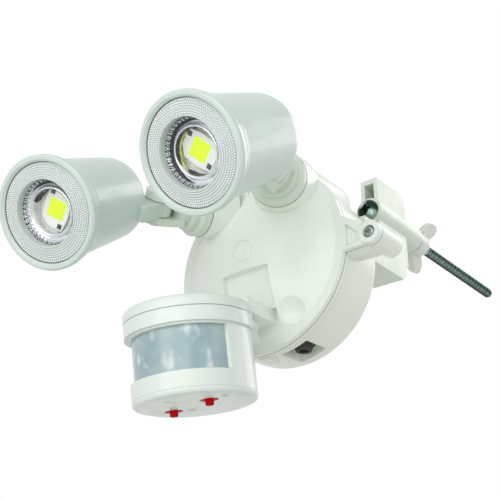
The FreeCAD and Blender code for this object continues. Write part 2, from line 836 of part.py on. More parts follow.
def make_clamp():
    """Clamp bracket behind the body, with its long bolt and washer."""
    left = "bolt_side - post_width / 2"
    right = "bolt_side + post_width / 2"
    post = padded("clamp_post", "YZ_Plane", (
        ("post_foot", "-post_front"),
        ("post_peak", "-post_front"),
        ("post_peak", "post_corner - post_rear"),
        ("post_peak - post_corner", "-post_rear"),
        ("post_foot", "-post_rear"),
    ), left, "post_width")
    foot = box("clamp_foot", ("foot_left", "foot_low", "-foot_rear"), (right, "foot_high", "-body_depth"))
    horn = padded("clamp_horn", "YZ_Plane", (
        ("foot_low", "overcut - foot_rear"),
        ("foot_high - horn_drop", "overcut - foot_rear"),
        ("foot_high - horn_drop", "-horn_rear"),
        ("foot_low + horn_corner", "-horn_rear"),
        ("foot_low", "horn_corner - horn_rear"),
    ), "horn_left", "%s - horn_left" % right)
    boss_at = ("bolt_side", "bolt_rise", "-boss_end")
    boss = cylinder("clamp_boss", "boss_radius", "boss_end - bolt_seat", boss_at)
    slot = box(
        "clamp_slot",
        ("bolt_side - slot_width / 2", "slot_low", "-post_front - slot_depth"),
        ("bolt_side + slot_width / 2", "slot_high", "overcut - post_front"),
    )
    bore_at = ("bolt_side", "bolt_rise", "-boss_end - overcut")
    hollows = [slot, cylinder("clamp_bore", "bolt_radius + bolt_room", "boss_end", bore_at)]
    for word, rise in (("low", "fix_low"), ("high", "fix_high")):
        at = ("fix_side", rise, "-body_depth - fix_bite")
        hollows.append(cylinder("clamp_fix_" + word, "screw_radius", "fix_bite + overcut", at))
    node(cut("clamp_bracket", fuse("clamp_solid", [post, foot, horn, boss]), hollows), "clamp_bracket", BODY)
    for word in ("low", "high"):
        at = spot(SIZE["fix_side"], SIZE["fix_" + word], SIZE["wall"] - SIZE["body_depth"])
        screw("bracket_screw_" + word, BODY.multiply(at), "screw_head", "screw_crown", "screw_radius", "screw_reach")
    seat = spot(SIZE["bolt_side"], SIZE["bolt_rise"], -SIZE["bolt_seat"])
    make_bolt(BODY.multiply(seat))
    washer = revolved("bolt_washer", (
        ("bolt_radius + bolt_room", "0"),
        ("washer_radius", "0"),
        ("washer_radius", "-washer_thickness"),
        ("bolt_radius + bolt_room", "-washer_thickness"),
    ))
    frame = BODY.multiply(spot(SIZE["bolt_side"], SIZE["bolt_rise"], -SIZE["boss_end"]))
    node(washer, "bolt_washer", frame)


def make_bolt(frame):
    """Long bolt with a domed head and a relief where its free thread starts."""
    start = "bolt_seat - thread_start"
    solid = revolved("clamp_bolt_solid", (
        ("0", "-bolt_length"),
        ("bolt_radius - screw_tip", "-bolt_length"),
        ("bolt_radius", "screw_tip - bolt_length"),
        ("bolt_radius", start),
        ("bolt_radius - bolt_relief", start),
        ("bolt_radius - bolt_relief", start + " + relief_width"),
        ("bolt_radius", start + " + relief_width"),
        ("bolt_radius", "0"),
        ("bolt_head", "0"),
        ("bolt_head", "bolt_crown * 0.3"),
        ("bolt_head * 0.86", "bolt_crown * 0.7"),
        ("bolt_head * 0.5", "bolt_crown * 0.96"),
        ("0", "bolt_crown"),
    ))
    node(cut("clamp_bolt", solid, cross_recess("clamp_bolt", "bolt_crown")), "clamp_bolt", frame)


def make_wing_nut():
    """Plastic wing nut that runs on the clamp bolt."""
    hub = revolved("nut_hub", (
        ("0", "0"),
        ("nut_radius", "0"),
        ("nut_radius", "nut_nose - nut_length"),
        ("nut_radius - nut_nose_step", "-nut_length"),
        ("0", "-nut_length"),
    ))
    wing = (
        ("wing_root", "-wing_foot"),
        ("wing_span - wing_lobe", "2.3 * wing_lobe - wing_height"),
        ("wing_span", "wing_lobe - wing_height"),
        ("wing_span", "-wing_height - wing_lobe / 3"),
        ("wing_span - 0.7 * wing_lobe", "-wing_height - wing_lobe"),
        ("wing_span - 2 * wing_lobe", "-wing_height - 0.7 * wing_lobe"),
        ("wing_root", "overcut - nut_length"),
    )
    other_wing = tuple(("-(%s)" % across, along) for across, along in reversed(wing))
    wings = padded("nut_wings", "XZ_Plane", wing + other_wing, "-wing_thickness / 2", "wing_thickness")
    bore = cylinder("nut_bore", "bolt_radius + running_gap", "4 * nut_length", ("0", "0", "-3 * nut_length"))
    turn = FreeCAD.Rotation(Z_AXIS, SIZE["nut_rest"])
    depth = -SIZE["boss_end"] - SIZE["washer_thickness"] - SIZE["face_gap"]
    frame = BODY.multiply(spot(SIZE["bolt_side"], SIZE["bolt_rise"], depth, turn))
    node(cut("wing_nut", fuse("nut_solid", [hub, wings]), [bore]), "wing_nut", frame)


def hinge_pin(name, frame, half, height):
    """A screw through a hinge from its right, with a nut on its left."""
    right = frame.multiply(spot(SIZE[half], 0, height, ALONG["x"]))
    left = frame.multiply(spot(-SIZE[half], 0, height, ALONG["-x"]))
    words = name.split("pivot")
    reach = "2 * %s + pin_crown" % half
    screw("pivot_screw".join(words), right, "pin_head", "pin_crown", "pin_radius", reach)
    nut = revolved("pivot_nut".join(words), (
        ("pin_radius", "0"),
        ("pin_head", "0"),
        ("pin_head", "pin_crown - pin_edge"),
        ("pin_head - pin_edge", "pin_crown"),
        ("pin_radius", "pin_crown"),
    ))
    node(nut, "pivot_nut".join(words), left)


def make_arm(word, side):
    """Swivel rotor, stepped neck and the fork that carries one lamp."""
    def name(text):
        return "%s_%s" % (text, word)

    frame = arm_frame(side)
    base = revolved(name("arm_base"), (
        ("0", "-spigot_reach"),
        ("spigot_radius", "-spigot_reach"),
        ("spigot_radius", "face_gap"),
        ("rotor_radius", "face_gap"),
        ("rotor_radius", "rotor_height - rotor_edge"),
        ("rotor_radius - rotor_edge", "rotor_height"),
        ("step_radius", "rotor_height"),
        ("step_radius", "rotor_height + step_height - step_edge"),
        ("step_radius - step_edge", "rotor_height + step_height"),
        ("neck_radius", "rotor_height + step_height"),
        ("neck_radius", "neck_top"),
        ("0", "neck_top"),
    ))
    cheeks = []
    for tag, start, end in (("a", "-cheek_outer", "-cheek_inner"), ("b", "cheek_inner", "cheek_outer")):
        at = (start, "0", "arm_reach")
        width = "ear_thickness"
        cheeks.append(cylinder(name("cheek_round_" + tag), "knuckle_radius", width, at, "x"))
        low = (start, "-knuckle_radius", "neck_top - cheek_root")
        cheeks.append(box(name("cheek_" + tag), low, (end, "knuckle_radius", "arm_reach")))
    hole_at = ("-4 * tongue_half", "0", "arm_reach")
    hollows = [cylinder(name("arm_pin_hole"), "pin_radius", "8 * tongue_half", hole_at, "x")]
    hollows.append(cylinder(name("arm_wire_hole"), "wire_radius", "2 * arm_reach", ("0", "0", "-arm_reach")))
    arm = cut(name("arm"), fuse(name("arm_solid"), [base] + cheeks), hollows)
    node(arm, name("arm"), frame)
    clip = revolved(name("swivel_clip"), (
        ("spigot_radius", "-tower_plate - face_gap - clip_thickness"),
        ("spigot_radius + clip_width", "-tower_plate - face_gap - clip_thickness"),
        ("spigot_radius + clip_width", "-tower_plate - face_gap"),
        ("spigot_radius", "-tower_plate - face_gap"),
    ))
    node(clip, name("swivel_clip"), frame)
    hinge_pin(name("pivot"), frame, "cheek_outer", SIZE["arm_reach"])


# The bowl's inside, as shares of its width and depth from mouth to throat.
BOWL_STEPS = ((1.0, 0.0), (0.82, 0.36), (0.5, 0.47), (0.35, 0.65), (0.17, 0.71), (0.0, 1.0))


def bowl_across(part):
    return "bowl_throat + (bowl_mouth - bowl_throat) * %s" % part


def make_lamp(word, side):
    """One lamp head with its bezel, lens, reflector, chip and heat sink."""
    def name(text):
        return "%s_%s" % (text, word)

    frame = lamp_frame(side)
    front = "lamp_back + lamp_length"
    shell = revolved(name("lamp_shell"), (
        ("0", "lamp_back"),
        ("lamp_back_radius - lamp_shoulder", "lamp_back"),
        ("lamp_back_radius - lamp_shoulder * 0.45", "lamp_back + lamp_shoulder * 0.16"),
        ("lamp_back_radius - lamp_shoulder * 0.16", "lamp_back + lamp_shoulder * 0.45"),
        ("lamp_back_radius", "lamp_back + lamp_shoulder"),
        ("lamp_front_radius", front + " - lip_taper"),
        ("lamp_front_radius + lamp_lip", front + " - lip_land"),
        ("lamp_front_radius + lamp_lip", front),
        ("0", front),
    ))
    room = revolved(name("lamp_room"), (
        ("0", "lamp_back + lamp_wall"),
        ("lamp_back_radius - lamp_shoulder", "lamp_back + lamp_wall"),
        ("lamp_back_radius - lamp_wall", "lamp_back + lamp_shoulder"),
        ("lamp_front_radius - lamp_wall", front + " - lip_taper"),
        ("lamp_front_radius - lamp_wall + lamp_lip / 2", front + " - lip_land"),
        ("lamp_front_radius - lamp_wall + lamp_lip / 2", front + " + overcut"),
        ("0", front + " + overcut"),
    ))
    at = ("-tongue_half", "-lamp_offset", "0")
    knuckle = cylinder(name("tongue_round"), "tongue_radius", "2 * tongue_half", at, "x")
    bar = box(
        name("tongue_bar"),
        ("-tongue_half", "bar_setback - lamp_offset - tongue_radius", "0"),
        ("tongue_half", "tongue_radius - lamp_offset", "lamp_back + bar_bite"),
    )
    at = ("-2 * tongue_half", "-lamp_offset", "0")
    hole = cylinder(name("tongue_hole"), "pin_radius + running_gap", "4 * tongue_half", at, "x")
    solid = fuse(name("lamp_solid"), [shell, knuckle, bar])
    node(cut(name("lamp_housing"), solid, [room, hole]), name("lamp_housing"), frame)

    tip = front + " + bezel_height"
    bezel = revolved(name("lamp_bezel"), (
        ("bezel_opening", front),
        ("bezel_radius - 0.8 * bezel_edge", front),
        ("bezel_radius", front + " + bezel_height / 2"),
        ("bezel_radius", tip + " - bezel_edge"),
        ("bezel_radius - 0.9 * bezel_edge", tip),
        ("bezel_opening + bezel_edge", tip),
        ("bezel_opening", tip + " - 1.2 * bezel_edge"),
    ))
    node(bezel, name("lamp_bezel"), frame)

    lens_top = tip + " - lens_setback"
    lens_low = lens_top + " - lens_thickness"
    lens = revolved(name("lamp_lens"), (
        ("0", lens_low),
        ("bezel_opening - lens_gap", lens_low),
        ("bezel_opening - lens_gap", lens_top + " - lens_edge"),
        ("bezel_opening - 2 * lens_edge", lens_top),
        ("lens_well + lens_edge", lens_top + " + lens_crown"),
        ("lens_well", lens_top + " + lens_crown - lens_edge"),
        ("lens_well - lens_edge", lens_low + " + lens_window"),
        ("0", lens_low + " + lens_window"),
    ))
    node(lens, name("lamp_lens"), frame)

    rim = lens_low + " - lens_seat"
    throat = rim + " - bowl_depth"
    inner = [(bowl_across(part), "%s - bowl_depth * %s" % (rim, drop)) for part, drop in BOWL_STEPS]
    outer = [(across + " + bowl_skin", height + " - 0.6 * bowl_skin") for across, height in inner[1:-1]]
    outer = [("bowl_mouth + bowl_skin", rim + " - bowl_skin")] + outer + [("bowl_throat + bowl_skin", throat)]
    ends = [("bowl_rim", rim + " - bowl_skin"), ("bowl_rim", rim)]
    bowl = revolved(name("reflector"), inner + outer[::-1] + ends)
    node(bowl, name("reflector"), frame)

    seat = throat + " - carrier_gap"
    carrier = revolved(name("led_board"), (
        ("0", seat + " - carrier_thickness"),
        ("carrier_radius", seat + " - carrier_thickness"),
        ("carrier_radius", seat),
        ("0", seat),
    ))
    node(carrier, name("led_board"), frame)
    half = "chip_side / 2"
    chip = block(name("led_chip"), ("-" + half, "-" + half, seat), (half, half, seat + " + chip_height"))
    node(chip, name("led_chip"), frame)

    sink_top = seat + " - carrier_thickness"
    plate = cylinder(name("sink_plate"), "sink_radius", "sink_plate", ("0", "0", sink_top + " - sink_plate"))
    hub = cylinder(name("sink_hub"), "sink_hub", "sink_height", ("0", "0", sink_top + " - sink_height"))
    fins = []
    for row in range(5):
        middle = "%d * fin_pitch" % (row - 2)
        low = ("-fin_half", middle + " - fin_thickness / 2", sink_top + " - sink_height")
        high = ("fin_half", middle + " + fin_thickness / 2", sink_top + " - sink_plate / 2")
        fins.append(box(name("sink_fin_%d" % row), low, high))
    node(fuse(name("heat_sink"), [plate, hub] + fins), name("heat_sink"), frame)


def make_neck():
    """Pan rotor under the saddle with the fork for the sensor's hinge."""
    frame = neck_frame()
    drop = "sensor_hinge - saddle_floor"
    rotor = revolved("neck_rotor", (
        ("0", "-pan_reach"),
        ("pan_radius", "-pan_reach"),
        ("pan_radius", "face_gap"),
        ("pan_disc", "face_gap"),
        ("pan_disc", "pan_height - pan_edge"),
        ("pan_disc - pan_edge", "pan_height"),
        ("0", "pan_height"),
    ))
    cheeks = []
    for tag, start, end in (("a", "-fork_outer", "-fork_half"), ("b", "fork_half", "fork_outer")):
        at = (start, "0", drop)
        cheeks.append(cylinder("fork_round_" + tag, "fork_radius", "fork_thickness", at, "x"))
        low = (start, "-fork_radius", "pan_height - overcut")
        cheeks.append(box("fork_" + tag, low, (end, "fork_radius", drop)))
    hole = cylinder("fork_hole", "pin_radius", "8 * fork_half", ("-4 * fork_half", "0", drop), "x")
    node(cut("sensor_neck", fuse("neck_solid", [rotor] + cheeks), [hole]), "sensor_neck", frame)
    hinge_pin("sensor_pivot", frame, "fork_outer", SIZE["sensor_hinge"] - SIZE["saddle_floor"])


def drum(name, radius, low, high):
    """A round drum stretched a little towards the back."""
    height = "(%s) - (%s)" % (high, low)
    front = cylinder(name + "_front", radius, height, ("0", "0", low))
    back = cylinder(name + "_back", radius, height, ("0", "drum_stretch", low))
    middle = box(name + "_middle", ("-(%s)" % radius, "0", low), (radius, "drum_stretch", high))
    return [front, back, middle]


def hinge_in_sensor():
    """The tilt hinge seen from the sensor's own frame."""
    pin = BODY.multiply(spot(0, -SIZE["sensor_hinge"], SIZE["pan_front"]))
    return sensor_frame().inverse().multiply(pin).Base


def make_sensor():
    """Drum shaped sensor: shell, hood, film window, base and electronics."""
    frame = sensor_frame()
    solids = drum("drum_solid", "drum_radius", "0", "drum_height")
    solids += drum("brow_solid", "brow_radius", "brow_low", "drum_height")
    hollows = drum("drum_room", "drum_radius - drum_wall", "-overcut", "drum_height + overcut")
    low = ("-2 * drum_radius", "-2 * drum_radius", "window_low")
    hollows.append(box("window_opening", low, ("2 * drum_radius", "-window_side", "window_high")))
    hinge = hinge_in_sensor()
    bar = box(
        "lug_bar",
        ("fork_gap - fork_half", "drum_radius + drum_stretch - overcut", "%.4f - fork_radius" % hinge.z),
        ("fork_half - fork_gap", "%.4f" % hinge.y, "drum_height - hood_seam"),
    )
    at = ("fork_gap - fork_half", "%.4f" % hinge.y, "%.4f" % hinge.z)
    lug = cylinder("lug_round", "fork_radius", "2 * (fork_half - fork_gap)", at, "x")
    at = ("-2 * fork_half", "%.4f" % hinge.y, "%.4f" % hinge.z)
    hole = cylinder("lug_hole", "pin_radius + running_gap", "4 * fork_half", at, "x")
    shell = cut("sensor_housing", fuse("sensor_solid", solids + [lug, bar]), hollows + [hole])
    node(shell, "sensor_housing", frame)

    top = "drum_height + hood_height"
    seam = "drum_height + hood_seam"
    crown = drum("hood_lower", "brow_radius", seam, top + " - hood_edge")
    crown += drum("hood_upper", "brow_radius - hood_edge", seam, top)
    room = drum("hood_room", "drum_radius - drum_wall", "drum_height - overcut", top + " - hood_edge - overcut")
    node(cut("sensor_hood", fuse("hood_solid", crown), room), "sensor_hood", frame)

    outer = "drum_radius - drum_wall"
    low = "window_low - film_overlap"
    height = "window_high - window_low + 2 * film_overlap"
    film = cylinder("film_outer", outer, height, ("0", "0", low))
    behind_at = ("0", "0", low + " - overcut")
    behind = cylinder("film_inner", outer + " - film_thickness", height + " + 2 * overcut", behind_at)
    back_high = ("2 * drum_radius", "2 * drum_radius", "2 * drum_height")
    back = box("film_back", ("-2 * drum_radius", "film_overlap - window_side", "0"), back_high)
    node(cut("sensor_window", film, [behind, back]), "sensor_window", frame)

    plate = drum("base_plate", "drum_radius", "base_edge - base_height", "0")
    plate += drum("base_lower", "drum_radius - base_edge", "-base_height", "0")
    spots = (
        ("left", "-dial_left_side", "dial_left_back"),
        ("right", "dial_right_side", "-dial_right_front"),
    )
    hollows = []
    for word, x, y in spots:
        at = (x, y, "-base_height - overcut")
        hollows.append(cylinder("dial_well_" + word, "dial_radius + dial_room", "overcut + dial_thickness", at))
        hollows.append(cylinder("dial_bore_" + word, "dial_shaft + running_gap", "3 * base_height", at))
    node(cut("sensor_base", fuse("base_solid", plate), hollows), "sensor_base", frame)

    low = ("-sensor_board_half", "sensor_board_back", "sensor_board_low")
    back = "sensor_board_back + board_thickness"
    board = block("sensor_board", low, ("sensor_board_half", back, "drum_height - sensor_board_room"))
    node(board, "sensor_board", frame)
    eye = revolved("pir_element", (
        ("0", "0"),
        ("eye_radius", "0"),
        ("eye_radius", "eye_flange"),
        ("eye_radius - eye_step", "eye_flange"),
        ("eye_radius - eye_step", "eye_length - 0.6 * eye_step"),
        ("eye_radius - 1.6 * eye_step", "eye_length"),
        ("0", "eye_length"),
    ))
    at = spot(0, SIZE["sensor_board_back"], SIZE["eye_rise"], ALONG["-y"])
    node(eye, "pir_element", frame.multiply(at))


def make_dials():
    """Two small setting dials under the sensor."""
    frame = sensor_frame()
    spots = (
        ("dial_time", -SIZE["dial_left_side"], SIZE["dial_left_back"]),
        ("dial_light", SIZE["dial_right_side"], -SIZE["dial_right_front"]),
    )
    for label, x, y in spots:
        disc = revolved(label + "_disc", (
            ("0", "dial_reach"),
            ("dial_shaft", "dial_reach"),
            ("dial_shaft", "-face_gap"),
            ("dial_radius", "-face_gap"),
            ("dial_radius", "-dial_thickness"),
            ("dial_grip", "-dial_thickness"),
            ("dial_grip", "dial_edge - dial_thickness - dial_grip_height"),
            ("dial_grip - dial_edge", "-dial_thickness - dial_grip_height"),
            ("0", "-dial_thickness - dial_grip_height"),
        ))
        low = ("-dial_grip - overcut", "-dial_slot / 2", "-dial_thickness - dial_grip_height - overcut")
        high = ("dial_grip + overcut", "dial_slot / 2", "dial_slot - dial_thickness - dial_grip_height")
        slot = box(label + "_slot", low, high)
        seat = SIZE["dial_thickness"] - SIZE["base_height"]
        node(cut(label, disc, [slot]), label, frame.multiply(spot(x, y, seat)))


def check_and_export():
    doc.recompute()
    for item in doc.Objects:
        if "Invalid" in item.State or "Error" in item.State:
            raise RuntimeError("%s: %s" % (item.Name, item.State))
    for item in nodes:
        shape = item.Shape
        if shape.isNull() or not shape.isValid():
            raise RuntimeError("bad shape: " + item.Label)
        if len(shape.Solids) != 1:
            print("solids:", item.Label, len(shape.Solids))
        shape.exportStep("parts/%s.step" % item.Label)
    print("nodes:", len(nodes))


make_rear_housing()
make_front_cover()
make_body_small_parts()
make_driver()
make_gland()
make_clamp()
make_wing_nut()
for tag, sign in SIDES:
    make_arm(tag, sign)
    make_lamp(tag, sign)
make_neck()
make_sensor()
make_dials()
check_and_export()
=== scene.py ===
import math

import bmesh
import bpy
from mathutils import Matrix, Vector


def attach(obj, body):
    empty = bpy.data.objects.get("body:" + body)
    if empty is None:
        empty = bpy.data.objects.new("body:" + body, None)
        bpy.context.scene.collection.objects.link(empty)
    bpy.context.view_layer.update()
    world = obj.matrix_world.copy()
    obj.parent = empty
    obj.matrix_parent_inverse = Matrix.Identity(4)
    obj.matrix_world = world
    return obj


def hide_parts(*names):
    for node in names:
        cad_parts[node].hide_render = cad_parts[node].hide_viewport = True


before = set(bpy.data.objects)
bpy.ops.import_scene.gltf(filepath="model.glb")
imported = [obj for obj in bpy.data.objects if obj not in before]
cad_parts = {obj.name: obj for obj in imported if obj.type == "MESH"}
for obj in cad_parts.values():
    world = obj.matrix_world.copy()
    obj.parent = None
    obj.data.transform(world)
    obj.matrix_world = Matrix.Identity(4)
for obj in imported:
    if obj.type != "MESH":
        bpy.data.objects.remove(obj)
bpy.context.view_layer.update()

MM = 0.001
SIDES = (("right", 1), ("left", -1))

# Sizes in millimetres and turns in degrees. BOLT_HEAD, NECK_SEAT and TOWER_TOP are
# places in the body frame: across, up and out. SENSOR_DROP is in the row frame.
RING_CENTRE = (-38.25, -118.0, -39.0)
SENSOR_DROP, SENSOR_NOD = (0, -58.5, -91.5), 9
BOLT_HEAD = (38.25, 39, -50)
NECK_SEAT, NECK_PIN_DROP = (0, -40, 22.2), 12.3
TOWER_TOP = (26.6, 32.5, 21.5)
TOWER_SPLAY, TOWER_LEAN, ARM_SWIVEL = 20.7, 11.3, 45
ARM_PIN_RISE = 25.7
LAMP_TILT, LAMP_RISE = 31.2, 19.1


def shift(x=0.0, y=0.0, z=0.0):
    return Matrix.Translation((x, y, z))


def turn(axis, degrees):
    return Matrix.Rotation(math.radians(degrees), 4, axis)


# Frames in millimetres, in the pose of the photograph. The body frame looks
# forward along its own Z.
ROW = shift()
BODY = shift(*RING_CENTRE) @ turn("X", 90)
SENSOR = shift(*RING_CENTRE) @ shift(*SENSOR_DROP) @ turn("X", SENSOR_NOD)
BOLT = BODY @ shift(*BOLT_HEAD)
NECK_PIN = BODY @ shift(*NECK_SEAT) @ turn("X", 90) @ shift(z=NECK_PIN_DROP)


def arm_place(side):
    """Frame of an arm, on top of its tower."""
    across, up, out = TOWER_TOP
    tower = BODY @ shift(side * across, up, out)
    return tower @ turn("Y", side * TOWER_SPLAY) @ turn("X", TOWER_LEAN) @ turn("Z", -side * ARM_SWIVEL)


def arm_pin(side):
    """Frame on the hinge pin of an arm."""
    return arm_place(side) @ shift(z=ARM_PIN_RISE)


def lamp_place(side):
    """Frame of a lamp head, whose axis is Z."""
    return arm_pin(side) @ turn("X", LAMP_TILT) @ shift(y=LAMP_RISE)


# ---------------------------------------------------------------- materials

def wire(tree, start, end):
    tree.links.new(start, end)


def add(tree, kind, **settings):
    """A shader or geometry node with settings and input values."""
    made = tree.nodes.new(kind)
    for word, value in settings.items():
        if hasattr(made, word):
            setattr(made, word, value)
        else:
            made.inputs[word.replace("_", " ")].default_value = value
    return made


def skin_group(name, build, numbers):
    """A shared shader group with one colour input and named numbers."""
    tree = bpy.data.node_groups.new(name, "ShaderNodeTree")
    face = tree.interface
    face.new_socket("Colour", in_out="INPUT", socket_type="NodeSocketColor")
    for word, value in numbers:
        socket = face.new_socket(word, in_out="INPUT", socket_type="NodeSocketFloat")
        socket.default_value = value
    face.new_socket("Colour", in_out="OUTPUT", socket_type="NodeSocketColor")
    face.new_socket("Roughness", in_out="OUTPUT", socket_type="NodeSocketFloat")
    face.new_socket("Normal", in_out="OUTPUT", socket_type="NodeSocketVector")
    build(tree, tree.nodes.new("NodeGroupInput"), tree.nodes.new("NodeGroupOutput"))
    return tree


def ranged(tree, source, start, end, low=0.0, high=1.0, **settings):
    """A value carried from one range to another and held inside it."""
    made = add(tree, "ShaderNodeMapRange", **settings)
    for word, value in (("From Min", start), ("From Max", end), ("To Min", low), ("To Max", high)):
        made.inputs[word].default_value = value
    wire(tree, source, made.inputs["Value"])
    return made.outputs["Result"]


def spread(tree, source, low, high):
    """A noise value spread between two amounts."""
    return ranged(tree, source, 0.3, 0.7, low, high)


def noise_at(tree, place, scale, detail):
    """Noise read at a place."""
    made = add(tree, "ShaderNodeTexNoise", Scale=scale, Detail=detail)
    wire(tree, place, made.inputs["Vector"])
    return made.outputs["Fac"]


def blended(tree, amount, first, second):
    """A colour between two, each of them a socket or a plain colour."""
    made = add(tree, "ShaderNodeMix", data_type="RGBA")
    for word, value in (("A", first), ("B", second)):
        if isinstance(value, tuple):
            made.inputs[word].default_value = (*value, 1.0)
        else:
            wire(tree, value, made.inputs[word])
    wire(tree, amount, made.inputs["Factor"])
    return made.outputs["Result"]


def tinted(tree, colour, noise, lows):
    """A colour dimmed a little by a noise, with its own low for each channel."""
    shade = add(tree, "ShaderNodeMix", data_type="RGBA", blend_type="MULTIPLY")
    shade.inputs["Factor"].default_value = 1.0
    tint = add(tree, "ShaderNodeCombineColor")
    for word, low in zip(("Red", "Green", "Blue"), lows):
        wire(tree, spread(tree, noise, low, 1.0), tint.inputs[word])
    wire(tree, colour, shade.inputs["A"])
    wire(tree, tint.outputs["Color"], shade.inputs["B"])
    return shade.outputs["Result"]


def roughened(tree, given, noise, low, high):
    """The given roughness, varied by a noise."""
    rough = add(tree, "ShaderNodeMath", operation="MULTIPLY")
    wire(tree, given.outputs["Roughness"], rough.inputs[0])
    wire(tree, spread(tree, noise, low, high), rough.inputs[1])
    return rough.outputs["Value"]


def worn_normal(tree, given, noise, depth):
    """A normal with softened edges and a fine grain pressed into it."""
    edge = add(tree, "ShaderNodeBevel", samples=4)
    wire(tree, given.outputs["Edge"], edge.inputs["Radius"])
    bump = add(tree, "ShaderNodeBump", Distance=depth)
    wire(tree, given.outputs["Grain"], bump.inputs["Strength"])
    wire(tree, noise, bump.inputs["Height"])
    wire(tree, edge.outputs["Normal"], bump.inputs["Normal"])
    return bump.outputs["Normal"]


def moulded_skin(tree, given, done):
    """Moulded plastic: faint cloudiness, fine grain and softened edges."""
    place = add(tree, "ShaderNodeTexCoord").outputs["Object"]
    cloud = add(tree, "ShaderNodeTexNoise", Scale=38.0, Detail=3.0, Roughness=0.55)
    wire(tree, place, cloud.inputs["Vector"])
    grain = noise_at(tree, place, 1900.0, 2.0)
    flow = noise_at(tree, place, 95.0, 1.0)
    colour = tinted(tree, given.outputs["Colour"], cloud.outputs["Fac"], (0.955, 0.965, 0.945))
    wire(tree, colour, done.inputs["Colour"])
    wire(tree, roughened(tree, given, flow, 0.85, 1.25), done.inputs["Roughness"])
    wire(tree, worn_normal(tree, given, grain, 0.0001), done.inputs["Normal"])


def plated_skin(tree, given, done):
    """Plated metal: drawn streaks, small dull spots and softened edges."""
    place = add(tree, "ShaderNodeTexCoord").outputs["Object"]
    stretch = add(tree, "ShaderNodeMapping")
    stretch.inputs["Scale"].default_value = (1.0, 0.06, 1.0)
    wire(tree, place, stretch.inputs["Vector"])
    streak = noise_at(tree, stretch.outputs["Vector"], 2600.0, 3.0)
    spots = add(tree, "ShaderNodeTexVoronoi", Scale=900.0)
    wire(tree, place, spots.inputs["Vector"])
    cloud = noise_at(tree, place, 220.0, 4.0)
    wire(tree, tinted(tree, given.outputs["Colour"], cloud, (0.72, 0.74, 0.78)), done.inputs["Colour"])
    rough = roughened(tree, given, spots.outputs["Distance"], 0.8, 1.4)
    wire(tree, rough, done.inputs["Roughness"])
    wire(tree, worn_normal(tree, given, streak, 0.00005), done.inputs["Normal"])


SKIN_SIZES = (("Roughness", 0.3), ("Grain", 0.3), ("Edge", 0.0004))
MOULDED = skin_group("moulded_skin", moulded_skin, SKIN_SIZES)
PLATED = skin_group("plated_skin", plated_skin, SKIN_SIZES)


def finish_of(name, skin, colour, roughness, grain=0.3, edge=0.0004, **sockets):
    """A material whose shader takes its colour, roughness and normal from a skin."""
    coat = bpy.data.materials.new(name)
    coat.use_nodes = True
    tree = coat.node_tree
    shader = tree.nodes["Principled BSDF"]
    made = tree.nodes.new("ShaderNodeGroup")
    made.node_tree = skin
    made.inputs["Colour"].default_value = (*colour, 1.0)
    made.inputs["Roughness"].default_value = roughness
    made.inputs["Grain"].default_value = grain
    made.inputs["Edge"].default_value = edge
    wire(tree, made.outputs["Colour"], shader.inputs["Base Color"])
    wire(tree, made.outputs["Roughness"], shader.inputs["Roughness"])
    wire(tree, made.outputs["Normal"], shader.inputs["Normal"])
    for word, value in sockets.items():
        shader.inputs[word.replace("_", " ")].default_value = value
    return coat


def shader_of(coat):
    return coat.node_tree.nodes["Principled BSDF"]


# COVER_WHITE to SENSOR_WHITE are one white plastic in lighter and darker, greener copies: the darker copies
# are painted shade for parts that lie in less light.
COVER_WHITE = finish_of("cover_white", MOULDED, (0.90, 0.955, 0.885), 0.34, 0.25, 0.0006, Coat_Weight=0.15)
SHELL_WHITE = finish_of("shell_white", MOULDED, (0.88, 0.94, 0.85), 0.36, 0.3, 0.0006, Coat_Weight=0.1)
LAMP_WHITE = finish_of("lamp_white", MOULDED, (0.65, 0.75, 0.695), 0.33, 0.25, 0.0005, Coat_Weight=0.15)
ARM_WHITE = finish_of("arm_white", MOULDED, (0.74, 0.82, 0.72), 0.35, 0.25, 0.0004, Coat_Weight=0.1)
SENSOR_WHITE = finish_of("sensor_white", MOULDED, (0.76, 0.83, 0.77), 0.33, 0.25, 0.0005, Coat_Weight=0.15)
NUT_WHITE = finish_of("nut_white", MOULDED, (0.78, 0.83, 0.75), 0.4, 0.35, 0.0008, Coat_Weight=0.05)
SEAL_RUBBER = finish_of("seal_rubber", MOULDED, (0.045, 0.045, 0.042), 0.75, 0.8, 0.0003)
DIAL_RED = finish_of("dial_red", MOULDED, (0.52, 0.001, 0.001), 0.4, 0.2, 0.0003, Specular_IOR_Level=0.08)
RELAY_BLACK = finish_of("relay_black", MOULDED, (0.03, 0.03, 0.034), 0.5, 0.6, 0.0003)
SLEEVE_BLUE = finish_of("sleeve_blue", MOULDED, (0.02, 0.04, 0.12), 0.4, 0.3, 0.0003)
TERMINAL_GREEN = finish_of("terminal_green", MOULDED, (0.05, 0.3, 0.09), 0.45, 0.4, 0.0003)
COIL_TAPE = finish_of("coil_tape", MOULDED, (0.72, 0.5, 0.06), 0.4, 0.5, 0.0003)
BOARD_GREEN = finish_of("board_green", MOULDED, (0.02, 0.16, 0.05), 0.3, 0.9, 0.0002, Coat_Weight=0.4)
CARRIER_WHITE = finish_of("carrier_white", MOULDED, (0.82, 0.82, 0.78), 0.38, 0.3, 0.0003)
HOLDER_WHITE = finish_of("holder_white", MOULDED, (0.92, 0.94, 0.89), 0.28, 0.2, 0.0003, Coat_Weight=0.3)
# Dark olive: the lens seal, and the swivel rings that are painted shade in the joints under the arms.
OLIVE_SEAL_AND_GAP_SHADE = finish_of("olive_seal_and_gap_shade", MOULDED, (0.10, 0.10, 0.035), 0.6, 0.4, 0.0001)
# Near-black finish of the dark bowl arcs and tooth blocks: painted dark reflection and painted shade on the
# bright reflector.
REFLECTOR_SHADE = finish_of(
    "reflector_shade", PLATED, (0.012, 0.015, 0.028), 0.22, 0.05, 0.0001, Specular_IOR_Level=0.3,
)
